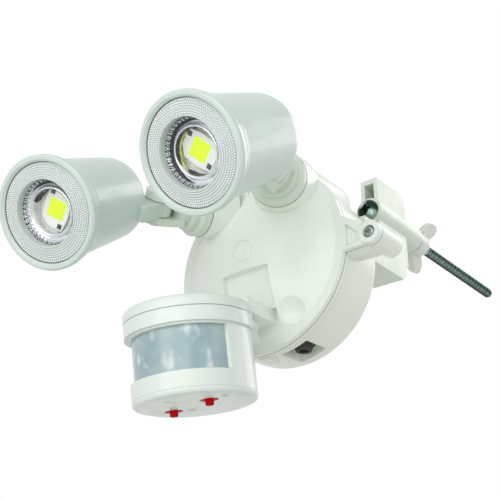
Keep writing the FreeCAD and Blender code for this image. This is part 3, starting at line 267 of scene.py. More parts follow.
# Yellow-green metal arc low in the throat: painted reflection of the chip.
REFLECTOR_CHIP_REFLECTION = finish_of("reflector_painted_reflection", PLATED, (0.72, 0.80, 0.22), 0.12, 0.05, 0.0001, Metallic=0.7)
SCREW_STEEL = finish_of("screw_steel", PLATED, (0.42, 0.46, 0.45), 0.2, 0.35, 0.0002, Metallic=1.0)
SINK_ALUMINIUM = finish_of("sink_aluminium", PLATED, (0.7, 0.71, 0.72), 0.42, 0.8, 0.0003, Metallic=1.0)
REFLECTOR_BRIGHT = finish_of("reflector_bright", PLATED, (0.93, 0.95, 0.95), 0.1, 0.05, 0.0001, Metallic=0.6)
CONTACT_DARK = finish_of("contact_dark", PLATED, (0.09, 0.1, 0.11), 0.3, 0.3, 0.0002, Metallic=0.8)


def chip_finish():
    """Soft yellow-green phosphor gel, with a painted glow from emission on the unlit chip."""
    coat = finish_of("chip_phosphor", MOULDED, (0.46, 0.66, 0.0), 0.4, 0.4, 0.0004, Coat_Weight=0.2)
    shader = shader_of(coat)
    # Painted glow: emission brightens the chip, which is not switched on.
    shader.inputs["Emission Color"].default_value = (0.50, 0.80, 0.0, 1.0)
    shader.inputs["Emission Strength"].default_value = 0.75
    return coat


THREAD_ROOT, THREAD_CREST = 0.0025, 0.0029
HIGHLIGHT_BAND_TURN = -12.0


def thread_finish():
    """Dark plated bolt, with a painted highlight band along its near side, painted dark sides and painted
    shade in the thread roots.
    """
    coat = finish_of("thread_steel", PLATED, (0.5, 0.66, 0.59), 0.2, 0.05, 0.00005, Metallic=1.0)
    tree = coat.node_tree
    shader = shader_of(coat)
    skin = shader.inputs["Base Color"].links[0].from_socket
    place = add(tree, "ShaderNodeTexCoord")
    across = add(tree, "ShaderNodeMapping")
    across.inputs["Scale"].default_value = (1.0, 0.0, 1.0)
    reach = add(tree, "ShaderNodeVectorMath", operation="LENGTH")
    turned = add(tree, "ShaderNodeVectorRotate", rotation_type="Y_AXIS")
    turned.inputs["Angle"].default_value = math.radians(HIGHLIGHT_BAND_TURN)
    radial = add(tree, "ShaderNodeVectorMath", operation="NORMALIZE")
    facing = add(tree, "ShaderNodeLayerWeight")
    wire(tree, place.outputs["Object"], across.inputs["Vector"])
    wire(tree, across.outputs["Vector"], reach.inputs[0])
    wire(tree, across.outputs["Vector"], turned.inputs["Vector"])
    wire(tree, turned.outputs["Vector"], radial.inputs[0])
    wire(tree, radial.outputs["Vector"], facing.inputs["Normal"])
    # Painted highlight band and painted dark sides: the metal's colour follows the Layer Weight facing of a
    # turned radial normal, so it moves with the view.
    painted_dark_sides = ranged(tree, facing.outputs["Facing"], 0.3, 0.6, interpolation_type="SMOOTHSTEP")
    steel = blended(tree, painted_dark_sides, skin, (0.016, 0.042, 0.032))
    # Painted shade in the thread roots: darker where the radius is small.
    crest = ranged(tree, reach.outputs["Value"], THREAD_ROOT, THREAD_CREST)
    shade = blended(tree, crest, (0.03, 0.05, 0.04), steel)
    wire(tree, shade, shader.inputs["Base Color"])
    return coat


def clear_finish(name, colour, alpha, roughness):
    """Clear moulded plastic, seen mostly by its gloss."""
    coat = finish_of(name, MOULDED, colour, roughness, 0.1, 0.0002, Coat_Weight=0.6)
    shader = shader_of(coat)
    shader.inputs["Coat Roughness"].default_value = 0.05
    shader.inputs["Alpha"].default_value = alpha
    return coat


def ring_reach(tree):
    """Distance from the middle of the pressed lens that a spot of the film lies in."""
    map_of = add(tree, "ShaderNodeUVMap", uv_map="film")
    cells = add(tree, "ShaderNodeVectorMath", operation="FRACTION")
    middle = add(tree, "ShaderNodeVectorMath", operation="SUBTRACT")
    middle.inputs[1].default_value = (0.5, 0.42, 0.0)
    reach = add(tree, "ShaderNodeVectorMath", operation="LENGTH")
    wire(tree, map_of.outputs["UV"], cells.inputs[0])
    wire(tree, cells.outputs["Vector"], middle.inputs[0])
    wire(tree, middle.outputs["Vector"], reach.inputs[0])
    return reach.outputs["Value"]


def ring_normal(tree, reach, normal):
    """Fine circular grooves on top of the skin's own normal."""
    rings = add(tree, "ShaderNodeMath", operation="MULTIPLY")
    rings.inputs[1].default_value = 46.0
    groove = add(tree, "ShaderNodeMath", operation="SINE")
    bump = add(tree, "ShaderNodeBump", Distance=0.0003, Strength=0.12)
    wire(tree, reach, rings.inputs[0])
    wire(tree, rings.outputs["Value"], groove.inputs[0])
    wire(tree, groove.outputs["Value"], bump.inputs["Height"])
    wire(tree, normal, bump.inputs["Normal"])
    return bump.outputs["Normal"]


def film_colour(tree, reach, skin):
    """Bluish patches, with painted pale glints of reflected light and a painted highlight at each lens
    middle, over the skin's colour.
    """
    place = add(tree, "ShaderNodeTexCoord").outputs["Object"]
    patches = noise_at(tree, place, 70.0, 1.0)
    deep = blended(tree, spread(tree, patches, 0.0, 0.8), skin, (0.23, 0.36, 0.42))
    upright = add(tree, "ShaderNodeMapping")
    upright.inputs["Scale"].default_value = (1.0, 1.0, 0.7)
    wire(tree, place, upright.inputs["Vector"])
    # Painted glints: pale streaks of reflected light laid into the colour.
    painted_glints = ranged(tree, noise_at(tree, upright.outputs["Vector"], 170.0, 1.0), 0.6, 0.85)
    pale = blended(tree, painted_glints, deep, (0.72, 0.80, 0.80))
    # Painted highlight at the middle of each pressed lens.
    return blended(tree, ranged(tree, reach, 0.05, 0.5, 0.12, 0.0), pale, (0.62, 0.72, 0.76))


def film_finish():
    """Milky sensor film with rows of fine ring lenses pressed inside it."""
    coat = finish_of("window_film", MOULDED, (0.38, 0.49, 0.485), 0.2, 0.1, 0.0003, Coat_Weight=0.3)
    tree = coat.node_tree
    shader = shader_of(coat)
    skin = shader.inputs["Base Color"].links[0].from_socket
    normal = shader.inputs["Normal"].links[0].from_socket
    shader.inputs["Subsurface Weight"].default_value = 0.15
    shader.inputs["Subsurface Radius"].default_value = (0.4, 0.6, 1.0)
    shader.inputs["Subsurface Scale"].default_value = 0.004
    reach = ring_reach(tree)
    wire(tree, ring_normal(tree, reach, normal), shader.inputs["Normal"])
    wire(tree, film_colour(tree, reach, skin), shader.inputs["Base Color"])
    return coat


CHIP_PHOSPHOR = chip_finish()
THREAD_STEEL = thread_finish()
LENS_CLEAR = clear_finish("lens_clear", (0.64, 0.72, 0.71), 0.8, 0.08)
WINDOW_CLEAR = clear_finish("window_clear", (0.9, 0.93, 0.95), 0.02, 0.03)
BEAD_CLEAR = clear_finish("bead_clear", (0.97, 1.0, 0.99), 0.95, 0.1)
WINDOW_FILM = film_finish()


# ------------------------------------------------------------ mesh helpers

def lathe(profile, steps, closed=False, teeth=None):
    """Points and faces of (radius, height) corners turned about Z.

    teeth is (first corner, last corner, count, depth): those corners swing
    in and out around the turn.
    """
    points, rings = [], []
    for place, (radius, height) in enumerate(profile):
        if radius == 0:
            rings.append([len(points)])
            points.append((0.0, 0.0, height))
            continue
        ring = []
        for step in range(steps):
            angle = 2 * math.pi * step / steps
            here = radius
            if teeth and teeth[0] <= place <= teeth[1]:
                here += teeth[3] * (1 if step * teeth[2] * 2 // steps % 2 else -1)
            ring.append(len(points))
            points.append((here * math.cos(angle), here * math.sin(angle), height))
        rings.append(ring)
    faces = []
    pairs = list(zip(rings, rings[1:]))
    if closed:
        pairs.append((rings[-1], rings[0]))
    for low, high in pairs:
        for step in range(steps):
            after = (step + 1) % steps
            if len(low) == 1:
                faces.append((low[0], high[after], high[step]))
            elif len(high) == 1:
                faces.append((low[step], low[after], high[0]))
            else:
                faces.append((low[step], low[after], high[after], high[step]))
    return points, faces


def loft(outlines):
    """Points and faces through outlines of the same count, capped at both ends."""
    count = len(outlines[0])
    points = [point for outline in outlines for point in outline]
    faces = []
    for row in range(len(outlines) - 1):
        for step in range(count):
            after = (step + 1) % count
            low, high = row * count, (row + 1) * count
            faces.append((low + step, low + after, high + after, high + step))
    faces.append(tuple(reversed(range(count))))
    faces.append(tuple(range((len(outlines) - 1) * count, len(outlines) * count)))
    return points, faces


def prism(corners, low, high):
    return loft([[(x, y, z) for x, y in corners] for z in (low, high)])


def slab(middle, half, low, high):
    """A square block: its middle, half width and both heights."""
    x, y = middle
    corners = [(x - half, y - half), (x + half, y - half), (x + half, y + half), (x - half, y + half)]
    return prism(corners, low, high)


def ring_of(sides, radius, start=0.0):
    """Corners of an even polygon that starts at an angle in degrees."""
    angles = [math.radians(start) + 2 * math.pi * k / sides for k in range(sides)]
    return [(radius * math.cos(angle), radius * math.sin(angle)) for angle in angles]


def rounded_square(half, corner, height, steps=4):
    """Points of a square with round corners, at one height."""
    centre = half - corner
    points = []
    for quarter in range(4):
        x_sign = 1 if quarter in (0, 3) else -1
        y_sign = 1 if quarter in (0, 1) else -1
        for step in range(steps + 1):
            angle = math.pi / 2 * (quarter + step / steps)
            x = x_sign * centre + corner * math.cos(angle)
            points.append((x, y_sign * centre + corner * math.sin(angle), height))
    return points


DRUM_STRETCH = 5.0


def drum_outline(radius, height, steps=48):
    """One level of the sensor drum: round, and stretched a little backwards."""
    points = []
    for half, lift in ((0, DRUM_STRETCH), (1, 0.0)):
        for step in range(steps + 1):
            angle = math.pi * (half + step / steps)
            points.append((radius * math.cos(angle), radius * math.sin(angle) + lift, height))
    return points


def join(*shapes):
    points, faces = [], []
    for some_points, some_faces in shapes:
        start = len(points)
        points += some_points
        faces += [tuple(start + corner for corner in face) for face in some_faces]
    return points, faces


def moved(shape, place):
    points, faces = shape
    return [tuple(place @ Vector(point)) for point in points], faces


def as_mesh(name, shape, place=ROW):
    """A mesh in metres in the row frame, faces outwards, from a shape in millimetres."""
    points, faces = shape
    mesh = bpy.data.meshes.new(name)
    mesh.from_pydata([MM * (place @ Vector(point)) for point in points], [], faces)
    work = bmesh.new()
    work.from_mesh(mesh)
    bmesh.ops.recalc_face_normals(work, faces=work.faces)
    work.to_mesh(mesh)
    work.free()
    return mesh


def as_object(name, mesh):
    made = bpy.data.objects.new(name, mesh)
    bpy.context.scene.collection.objects.link(made)
    return made


def plain_mesh(item):
    """The evaluated mesh of an object, with its modifiers worked in."""
    seen = bpy.context.evaluated_depsgraph_get()
    return bpy.data.meshes.new_from_object(item.evaluated_get(seen))


def carved(name, mesh, tools):
    """A mesh with tool meshes cut out of it."""
    item = as_object(name, mesh)
    helpers = []
    for count, tool in enumerate(tools):
        helper = as_object("%s_tool_%d" % (name, count), tool)
        cut = item.modifiers.new("cut", "BOOLEAN")
        cut.operation = "DIFFERENCE"
        cut.object = helper
        helpers.append(helper)
    result = plain_mesh(item)
    for thing in helpers + [item]:
        bpy.data.objects.remove(thing)
    return result


def piece(name, mesh, coat, body, stands_for=(), sharp=32):
    """A finished piece: one mesh, one finish, riding on one body."""
    mesh.materials.clear()
    mesh.materials.append(coat)
    mesh.polygons.foreach_set("use_smooth", [True] * len(mesh.polygons))
    mesh.set_sharp_from_angle(angle=math.radians(sharp))
    made = as_object(name, mesh)
    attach(made, body)
    if stands_for:
        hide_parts(*stands_for)
    return made


def cross_tools(name, place, width, span, top, deep):
    """Two crossed bars that cut a screw's recess."""
    tools = []
    for letter, (x, y) in (("a", (span, width)), ("b", (width, span))):
        corners = [(-x / 2, -y / 2), (x / 2, -y / 2), (x / 2, y / 2), (-x / 2, y / 2)]
        tools.append(as_mesh(name + letter, prism(corners, top - deep, top + deep), place))
    return tools


# --------------------------------------------------------- geometry nodes

def number_tree(name, sizes):
    """An empty geometry tree with named number inputs."""
    tree = bpy.data.node_groups.new(name, "GeometryNodeTree")
    face = tree.interface
    face.new_socket("Geometry", in_out="INPUT", socket_type="NodeSocketGeometry")
    for word, value in sizes:
        kind = "NodeSocketInt" if isinstance(value, int) else "NodeSocketFloat"
        socket = face.new_socket(word, in_out="INPUT", socket_type=kind)
        socket.default_value = value
    face.new_socket("Geometry", in_out="OUTPUT", socket_type="NodeSocketGeometry")
    return tree, tree.nodes.new("NodeGroupInput"), tree.nodes.new("NodeGroupOutput")


def end_tree(tree, done, geometry, coat):
    """Close a tree with real instances and their material."""
    real = add(tree, "GeometryNodeRealizeInstances")
    paint = add(tree, "GeometryNodeSetMaterial")
    paint.inputs["Material"].default_value = coat
    wire(tree, geometry, real.inputs["Geometry"])
    wire(tree, real.outputs["Geometry"], paint.inputs["Geometry"])
    wire(tree, paint.outputs["Geometry"], done.inputs["Geometry"])


def sums(tree, operation, first, second=None):
    """One step of arithmetic on sockets or plain numbers."""
    made = add(tree, "ShaderNodeMath", operation=operation)
    for place, value in enumerate((first, second)):
        if value is None:
            continue
        if isinstance(value, (int, float)):
            made.inputs[place].default_value = value
        else:
            wire(tree, value, made.inputs[place])
    return made.outputs["Value"]


def grown(name, tree, place, sizes=()):
    """The plain mesh that a tree grows, in metres in the row frame."""
    item = as_object(name, bpy.data.meshes.new(name))
    worker = item.modifiers.new("grow", "NODES")
    worker.node_group = tree
    keys = {item.name: item.identifier for item in tree.interface.items_tree if item.in_out == "INPUT"}
    for word, value in sizes:
        worker[keys[word]] = value
    mesh = plain_mesh(item)
    bpy.data.objects.remove(item)
    mesh.transform(Matrix.Scale(MM, 4) @ place)
    return mesh


def bead_tree():
    """Rings of small beads on a shallow cone, as pressed into the lens."""
    sizes = (
        ("Rings", 7), ("Beads", 120), ("First radius", 16.9), ("Ring step", 1.15),
        ("First height", 75.68), ("Height step", -0.25), ("Bead size", 0.021),
    )
    tree, given, done = number_tree("lens_beads", sizes)
    rings, beads = given.outputs["Rings"], given.outputs["Beads"]
    spots = add(tree, "GeometryNodePoints")
    wire(tree, sums(tree, "MULTIPLY", rings, beads), spots.inputs["Count"])
    index = add(tree, "GeometryNodeInputIndex").outputs["Index"]
    row = sums(tree, "FLOOR", sums(tree, "DIVIDE", index, beads))
    stagger = sums(tree, "ADD", sums(tree, "MODULO", index, beads), sums(tree, "MULTIPLY", row, 0.5))
    step = sums(tree, "DIVIDE", stagger, beads)
    angle = sums(tree, "MULTIPLY", step, 2 * math.pi)
    out = sums(tree, "MULTIPLY", row, given.outputs["Ring step"])
    radius = sums(tree, "ADD", given.outputs["First radius"], out)
    fall = sums(tree, "MULTIPLY", row, given.outputs["Height step"])
    height = sums(tree, "ADD", given.outputs["First height"], fall)
    place = add(tree, "ShaderNodeCombineXYZ")
    wire(tree, sums(tree, "MULTIPLY", radius, sums(tree, "COSINE", angle)), place.inputs["X"])
    wire(tree, sums(tree, "MULTIPLY", radius, sums(tree, "SINE", angle)), place.inputs["Y"])
    wire(tree, height, place.inputs["Z"])
    wire(tree, place.outputs["Vector"], spots.inputs["Position"])
    bead = add(tree, "GeometryNodeMeshUVSphere", Segments=8, Rings=5)
    stand = add(tree, "GeometryNodeInstanceOnPoints")
    wire(tree, spots.outputs["Points"], stand.inputs["Points"])
    wire(tree, bead.outputs["Mesh"], stand.inputs["Instance"])
    wire(tree, sums(tree, "MULTIPLY", radius, given.outputs["Bead size"]), stand.inputs["Scale"])
    end_tree(tree, done, stand.outputs["Instances"], BEAD_CLEAR)
    return tree


def thread_tree():
    """A rolled ridge that winds along the bolt."""
    sizes = (("Turns", 82.0), ("Root radius", 2.6), ("Length", 82.0), ("Ridge", 0.4))
    tree, given, done = number_tree("bolt_thread", sizes)
    winding = add(tree, "GeometryNodeCurveSpiral")
    winding.inputs["Resolution"].default_value = 20
    wire(tree, given.outputs["Turns"], winding.inputs["Rotations"])
    wire(tree, given.outputs["Root radius"], winding.inputs["Start Radius"])
    wire(tree, given.outputs["Root radius"], winding.inputs["End Radius"])
    wire(tree, given.outputs["Length"], winding.inputs["Height"])
    ridge = add(tree, "GeometryNodeCurvePrimitiveCircle")
    ridge.inputs["Resolution"].default_value = 6
    wire(tree, given.outputs["Ridge"], ridge.inputs["Radius"])
    rolled = add(tree, "GeometryNodeCurveToMesh")
    rolled.inputs["Fill Caps"].default_value = True
    wire(tree, winding.outputs["Curve"], rolled.inputs["Curve"])
    wire(tree, ridge.outputs["Curve"], rolled.inputs["Profile Curve"])
    end_tree(tree, done, rolled.outputs["Mesh"], THREAD_STEEL)
    return tree


def spoke_tree(coat):
    """Small upright blocks set evenly round a circle."""
    sizes = (
        ("Count", 24), ("Radius", 4.0), ("Height", 0.0),
        ("Deep", 0.6), ("Wide", 0.4), ("Tall", 1.0),
    )
    tree, given, done = number_tree("even_blocks", sizes)
    round_of = add(tree, "GeometryNodeMeshCircle")
    wire(tree, given.outputs["Count"], round_of.inputs["Vertices"])
    wire(tree, given.outputs["Radius"], round_of.inputs["Radius"])
    size = add(tree, "ShaderNodeCombineXYZ")
    for letter, word in (("X", "Deep"), ("Y", "Wide"), ("Z", "Tall")):
        wire(tree, given.outputs[word], size.inputs[letter])
    one = add(tree, "GeometryNodeMeshCube")
    wire(tree, size.outputs["Vector"], one.inputs["Size"])
    index = add(tree, "GeometryNodeInputIndex").outputs["Index"]
    angle = sums(tree, "MULTIPLY", sums(tree, "DIVIDE", index, given.outputs["Count"]), 2 * math.pi)
    aim = add(tree, "ShaderNodeCombineXYZ")
    wire(tree, angle, aim.inputs["Z"])
    stand = add(tree, "GeometryNodeInstanceOnPoints")
    wire(tree, round_of.outputs["Mesh"], stand.inputs["Points"])
    wire(tree, one.outputs["Mesh"], stand.inputs["Instance"])
    wire(tree, aim.outputs["Vector"], stand.inputs["Rotation"])
    lift = add(tree, "GeometryNodeTransform")
    rise = add(tree, "ShaderNodeCombineXYZ")
    wire(tree, given.outputs["Height"], rise.inputs["Z"])
    wire(tree, stand.outputs["Instances"], lift.inputs["Geometry"])
    wire(tree, rise.outputs["Vector"], lift.inputs["Translation"])
    end_tree(tree, done, lift.outputs["Geometry"], coat)
    return tree


# ------------------------------------------------------------- lamp heads

LENS_EDGE, LENS_EYE = 24.9, 16.0
LENS_BACK, LENS_RIM = 72.2, 74.1
SLOPE_START, SLOPE_RUN, SLOPE_RISE = 24.0, 7.0, 1.6
LENS_RINGS, RING_ROWS, RIPPLE = 7, 28, 0.13
WINDOW_RADIUS, WINDOW_LOW, WINDOW_HIGH = 15.9, 72.3, 73.2
LENS_STEPS, WINDOW_STEPS, BOWL_STEPS = 144, 96, 240
# First and last corner of the bowl's toothed wall, with the number and depth of its teeth.
BOWL_TOOTHED = (2, 5, 40, 0.16)


def lens_profile():
    """Pale ring of the lens, with fine rings pressed into its slope."""
    corners = [(LENS_EYE, LENS_BACK), (LENS_EDGE, LENS_BACK), (LENS_EDGE, 73.8), (24.2, 74.2)]
    for row in range(RING_ROWS + 1):
        part = row / RING_ROWS
        ripple = RIPPLE * math.cos(part * LENS_RINGS * 2 * math.pi)
        corners.append((SLOPE_START - part * SLOPE_RUN, LENS_RIM + part * SLOPE_RISE + ripple))
    return corners + [(16.6, 75.5), (16.2, 74.8), (LENS_EYE, 73.4)]


def reflector_profile():
    """Bright bowl: flange, toothed wall, a moat, a raised ring and a throat."""
    inner = [
        (24.6, 72.1), (16.2, 72.1), (15.9, 71.5), (15.5, 70.6), (15.3, 70.4), (14.9, 69.4),
        (14.3, 68.7), (13.6, 68.5), (12.9, 68.9), (12.4, 70.2), (12.1, 70.7), (11.7, 70.8),
        (11.3, 70.6), (11.1, 69.6), (10.9, 66.2), (10.8, 64.6),
    ]
    outer = [
        (11.3, 64.6), (11.5, 66.4), (12.0, 67.6), (13.6, 67.9), (15.6, 68.6), (16.6, 70.6), (17.0, 71.3),
        (24.6, 71.3),
    ]
    return inner + outer


# Dark arcs in the bowl, thin sheets of painted dark reflection and painted shade: two (radius, height)
# edges, start and end in degrees.
BOWL_SHADES = (
    ((15.0, 70.0), (13.7, 68.65), 112, 292),
    ((11.15, 70.5), (10.75, 68.3), 122, 250),
    ((10.75, 66.4), (10.6, 65.0), 96, 200),
    ((11.0, 69.4), (10.6, 65.6), 262, 338),
    ((11.1, 70.3), (10.6, 65.8), 92, 128),
)
# Rows of dark blocks on the toothed wall: painted shade between the bright teeth.
BOWL_TOOTH_SHADES = (
    (("Count", 76), ("Radius", 16.0), ("Height", 71.45), ("Deep", 0.5), ("Wide", 0.72), ("Tall", 0.8)),
    (("Count", 68), ("Radius", 15.5), ("Height", 70.5), ("Deep", 0.5), ("Wide", 0.68), ("Tall", 0.7)),
)
# Arc of painted yellow-green reflection of the chip: two (radius, height) edges, start and end in degrees.
BOWL_CHIP_REFLECTION = ((10.8, 68.1), (10.6, 66.6), 150, 268)
SEAL_RING = ((24.72, 73.85), (24.97, 73.85), (24.97, 74.05), (24.72, 74.05))

# Chip holder on its board: heights along the lamp's axis, places across it.
CHIP_TURN, CHIP_SHIFT = 4, -0.8
HOLDER_CORNERS = (
    (-9.6, -2.0), (-6.4, -7.0), (2.0, -7.6), (9.4, -6.4), (9.6, 2.0), (6.4, 7.0), (-2.0, 7.6), (-9.4, 6.4),
)
HOLDER_LOW, HOLDER_HIGH = 64.45, 66.6
OPENING_HALF, OPENING_FLOOR = 4.8, 66.0
CONTACT_PLACE, CONTACT_HALF = (7.7, -4.3), 1.2
CONTACT_LOW, CONTACT_HIGH = 66.2, 66.75
CHIP_HALF, CORNER_SHARE, LEAST_CORNER = 4.6, 0.22, 0.02
CHIP_LEVELS = ((0.0, 65.9), (0.0, 66.7), (0.25, 66.95), (0.9, 67.08), (4.5, 67.1))


def arc_band(high, low, start, end, side, steps=60, skin=0.25):
    """A thin band lying on the bowl through part of a turn, mirrored on the left lamp."""
    outlines = []
    section = (high, low, (low[0] + skin, low[1]), (high[0] + skin, high[1]))
    middle = ((high[0] + low[0]) / 2, (high[1] + low[1]) / 2)
    for step in range(steps + 1):
        part = step / steps
        angle = math.radians(start + (end - start) * part)
        thin = min(1.0, 6 * part, 6 * (1 - part)) * 0.9 + 0.1
        outline = []
        for radius, height in section:
            here = middle[0] + (radius - middle[0]) * thin
            level = middle[1] + (height - middle[1]) * thin
            outline.append((side * here * math.cos(angle), here * math.sin(angle), level))
        outlines.append(outline)
    return loft(outlines)


def make_lens(name, place, body):
    """Ringed outer lens with its beads, round a clear flat window."""
    solid = [name("lamp_lens")]
    ring = as_mesh(name("ringed_lens"), lathe(lens_profile(), LENS_STEPS, True), place)
    piece(name("ringed_lens"), ring, LENS_CLEAR, body, solid, sharp=60)
    disc = [(0, WINDOW_LOW), (WINDOW_RADIUS, WINDOW_LOW), (WINDOW_RADIUS, WINDOW_HIGH), (0, WINDOW_HIGH)]
    window = as_mesh(name("lens_window"), lathe(disc, WINDOW_STEPS), place)
    piece(name("lens_window"), window, WINDOW_CLEAR, body, solid, sharp=60)
    beads = grown(name("lens_beads"), BEADS, place)
    piece(name("lens_beads"), beads, BEAD_CLEAR, body, [], sharp=60)


def make_bowl(name, place, body, side):
    """Bright reflector, with arcs of painted dark reflection, an arc of painted reflection of the chip, and
    rows of dark blocks of painted shade on its teeth.
    """
    label = name("toothed_reflector")
    bowl = as_mesh(label, lathe(reflector_profile(), BOWL_STEPS, True, BOWL_TOOTHED), place)
    piece(label, bowl, REFLECTOR_BRIGHT, body, [name("reflector")], sharp=22)
    shades = join(*(arc_band(*arc, side) for arc in BOWL_SHADES))
    for word, shape, coat in (
        ("bowl_shades", shades, REFLECTOR_SHADE), ("bowl_painted_reflection", arc_band(*BOWL_CHIP_REFLECTION, side), REFLECTOR_CHIP_REFLECTION),
    ):
        piece(name(word), as_mesh(name(word), shape, place), coat, body, [], sharp=30)
    for row, sizes in enumerate(BOWL_TOOTH_SHADES):
        label = name("bowl_tooth_shade_%d" % row)
        teeth = grown(label, SHADE_BLOCKS, place, sizes)
        piece(label, teeth, REFLECTOR_SHADE, body, [], sharp=30)


def make_chip(name, place, body, side):
    """Holder, its two contacts and the square chip in its opening."""
    spin = place @ turn("Z", CHIP_TURN * side) @ shift(CHIP_SHIFT * side)
    corners = [(side * x, y) for x, y in HOLDER_CORNERS][::side]
    holder = as_mesh(name("holder"), prism(corners, HOLDER_LOW, HOLDER_HIGH), spin)
    opening = as_mesh(name("opening"), slab((0, 0), OPENING_HALF, OPENING_FLOOR, HOLDER_HIGH + 1), spin)
    pads = []
    for sign in (-1, 1):
        middle = (sign * side * CONTACT_PLACE[0], sign * CONTACT_PLACE[1])
        pads.append(slab(middle, CONTACT_HALF, CONTACT_LOW, CONTACT_HIGH))
    carved_holder = carved(name("holder"), holder, [opening])
    piece(name("chip_holder"), carved_holder, HOLDER_WHITE, body, [])
    contacts = as_mesh(name("contacts"), join(*pads), spin)
    piece(name("chip_contacts"), contacts, CONTACT_DARK, body, [])
    levels = []
    for inset, height in CHIP_LEVELS:
        half = CHIP_HALF - inset
        levels.append(rounded_square(half, max(half * CORNER_SHARE, LEAST_CORNER), height))
    chip = as_mesh(name("phosphor_chip"), loft(levels), spin)
    piece(name("phosphor_chip"), chip, CHIP_PHOSPHOR, body, [name("led_chip")], sharp=40)


def make_lamp(word, side):
    def name(text):
        return "%s_%s" % (text, word)

    place = lamp_place(side)
    body = name("lamp")
    make_lens(name, place, body)
    make_bowl(name, place, body, side)
    seal = as_mesh(name("lens_seal"), lathe(SEAL_RING, LENS_STEPS, True), place)
    piece(name("lens_seal"), seal, OLIVE_SEAL_AND_GAP_SHADE, body, [], sharp=30)
    make_chip(name, place, body, side)


# ------------------------------------------------------------------ sensor

# Levels of the drum's top and foot, as (radius, height).
CROWN = ((29.4, 37.25), (29.4, 41.0), (29.15, 41.9), (28.6, 42.5), (27.6, 42.9), (26.4, 43.0))
FOOT = ((28.0, 0.0), (28.0, -0.9), (27.75, -1.8), (27.2, -2.45), (26.3, -2.85), (25.2, -3.0))
FOOT_FLOOR = -2.95
DIALS = (("dial_time", -14.0, 3.0), ("dial_light", 11.5, -2.0))
WELL_RADIUS, WELL_MOUTH, WELL_ROOF = 4.4, -5.0, -1.6
FILM_SKINS, FILM_LOW, FILM_TALL = (26.0, 25.0), 6.5, 24.0
FILM_START, FILM_END = -172.5, -7.5
FILM_COLUMNS, FILM_ROWS = 72, 10
RINGS_ACROSS, RINGS_UP = 9.0, 3.0
KNOB = (
    (0, 4), (1.5, 4), (1.5, -0.3), (3.9, -0.3), (4.0, -0.5), (4.0, -1.2), (3.8, -1.4), (2.3, -1.4),
    (2.05, -1.6), (2.0, -3.4), (1.8, -3.9), (1.5, -4.0), (0, -4.0),
)
DIAL_STEPS, MARK_STEPS = 40, 24
KNOB_SLOT = ((-3, -0.4), (3, -0.4), (3, 0.4), (-3, 0.4))
SLOT_MOUTH, SLOT_FLOOR = -5, -3.2
MARK_DOT = ((0, FOOT_FLOOR), (1.5, FOOT_FLOOR), (1.45, -3.2), (1.0, -3.32), (0, -3.35))
MARK_RING = ((1.2, FOOT_FLOOR), (2.0, FOOT_FLOOR), (1.9, -3.25), (1.6, -3.32), (1.3, -3.25))
DOT_PLACES = ((-1.0, -17.0), (20.0, -16.5))
RING_PLACES = ((-7.0, 8.3), (21.2, -3.0))


def drum(name, levels):
    return as_mesh(name, loft([drum_outline(radius, height) for radius, height in levels]), SENSOR)


def make_hood():
    hood = drum("rounded_hood", CROWN)
    piece("rounded_hood", hood, SENSOR_WHITE, "sensor", ["sensor_hood"], sharp=50)


def make_base():
    """Foot of the drum, with a well round each dial."""
    wells = []
    for _, x, y in DIALS:
        well = [(0, WELL_MOUTH), (WELL_RADIUS, WELL_MOUTH), (WELL_RADIUS, WELL_ROOF), (0, WELL_ROOF)]
        wells.append(as_mesh("well", lathe(well, DIAL_STEPS), SENSOR @ shift(x, y)))
    base = carved("base_blank", drum("base_blank", FOOT), wells)
    piece("rounded_base", base, SENSOR_WHITE, "sensor", ["sensor_base"], sharp=50)


def film_sheet():
    """Points, faces and pattern marks of the curved film, closed round its edge."""
    start, span = math.radians(FILM_START), math.radians(FILM_END - FILM_START)
    points, faces, marks = [], [], []
    for radius in FILM_SKINS:
        for row in range(FILM_ROWS + 1):
            for column in range(FILM_COLUMNS + 1):
                angle = start + span * column / FILM_COLUMNS
                height = FILM_LOW + FILM_TALL * row / FILM_ROWS
                points.append((radius * math.cos(angle), radius * math.sin(angle), height))
                marks.append((RINGS_ACROSS * column / FILM_COLUMNS, RINGS_UP * row / FILM_ROWS))
    width = FILM_COLUMNS + 1
    size = width * (FILM_ROWS + 1)
    for row in range(FILM_ROWS):
        for column in range(FILM_COLUMNS):
            a = row * width + column
            faces.append((a, a + 1, a + 1 + width, a + width))
            faces.append(tuple(size + corner for corner in (a + width, a + 1 + width, a + 1, a)))
    for column in range(FILM_COLUMNS):
        for low in (column, FILM_ROWS * width + column):
            faces.append((low, low + 1, size + low + 1, size + low))
    for row in range(FILM_ROWS):
        for low in (row * width, row * width + FILM_COLUMNS):
            faces.append((low, low + width, size + low + width, size + low))
    return points, faces, marks


def make_film():
    points, faces, marks = film_sheet()
    film = as_mesh("ringed_film", (points, faces), SENSOR)
    layer = film.uv_layers.new(name="film")
    for loop in film.loops:
        layer.data[loop.index].uv = marks[loop.vertex_index]
    piece("ringed_film", film, WINDOW_FILM, "sensor", ["sensor_window"], sharp=40)


def make_dials():
    """Red knobs with a slot across the stem and a ring of grips."""
    for label, x, y in DIALS:
        place = SENSOR @ shift(x, y, WELL_ROOF)
        slot = as_mesh("slot", prism(KNOB_SLOT, SLOT_MOUTH, SLOT_FLOOR), place)
        blank = as_mesh(label + "_blank", lathe(KNOB, DIAL_STEPS), place)
        knob = carved(label + "_blank", blank, [slot])
        piece(label + "_knob", knob, DIAL_RED, label, [label])
        grips = grown(label + "_grips", DIAL_BLOCKS, place)
        piece(label + "_grips", grips, DIAL_RED, label, [])


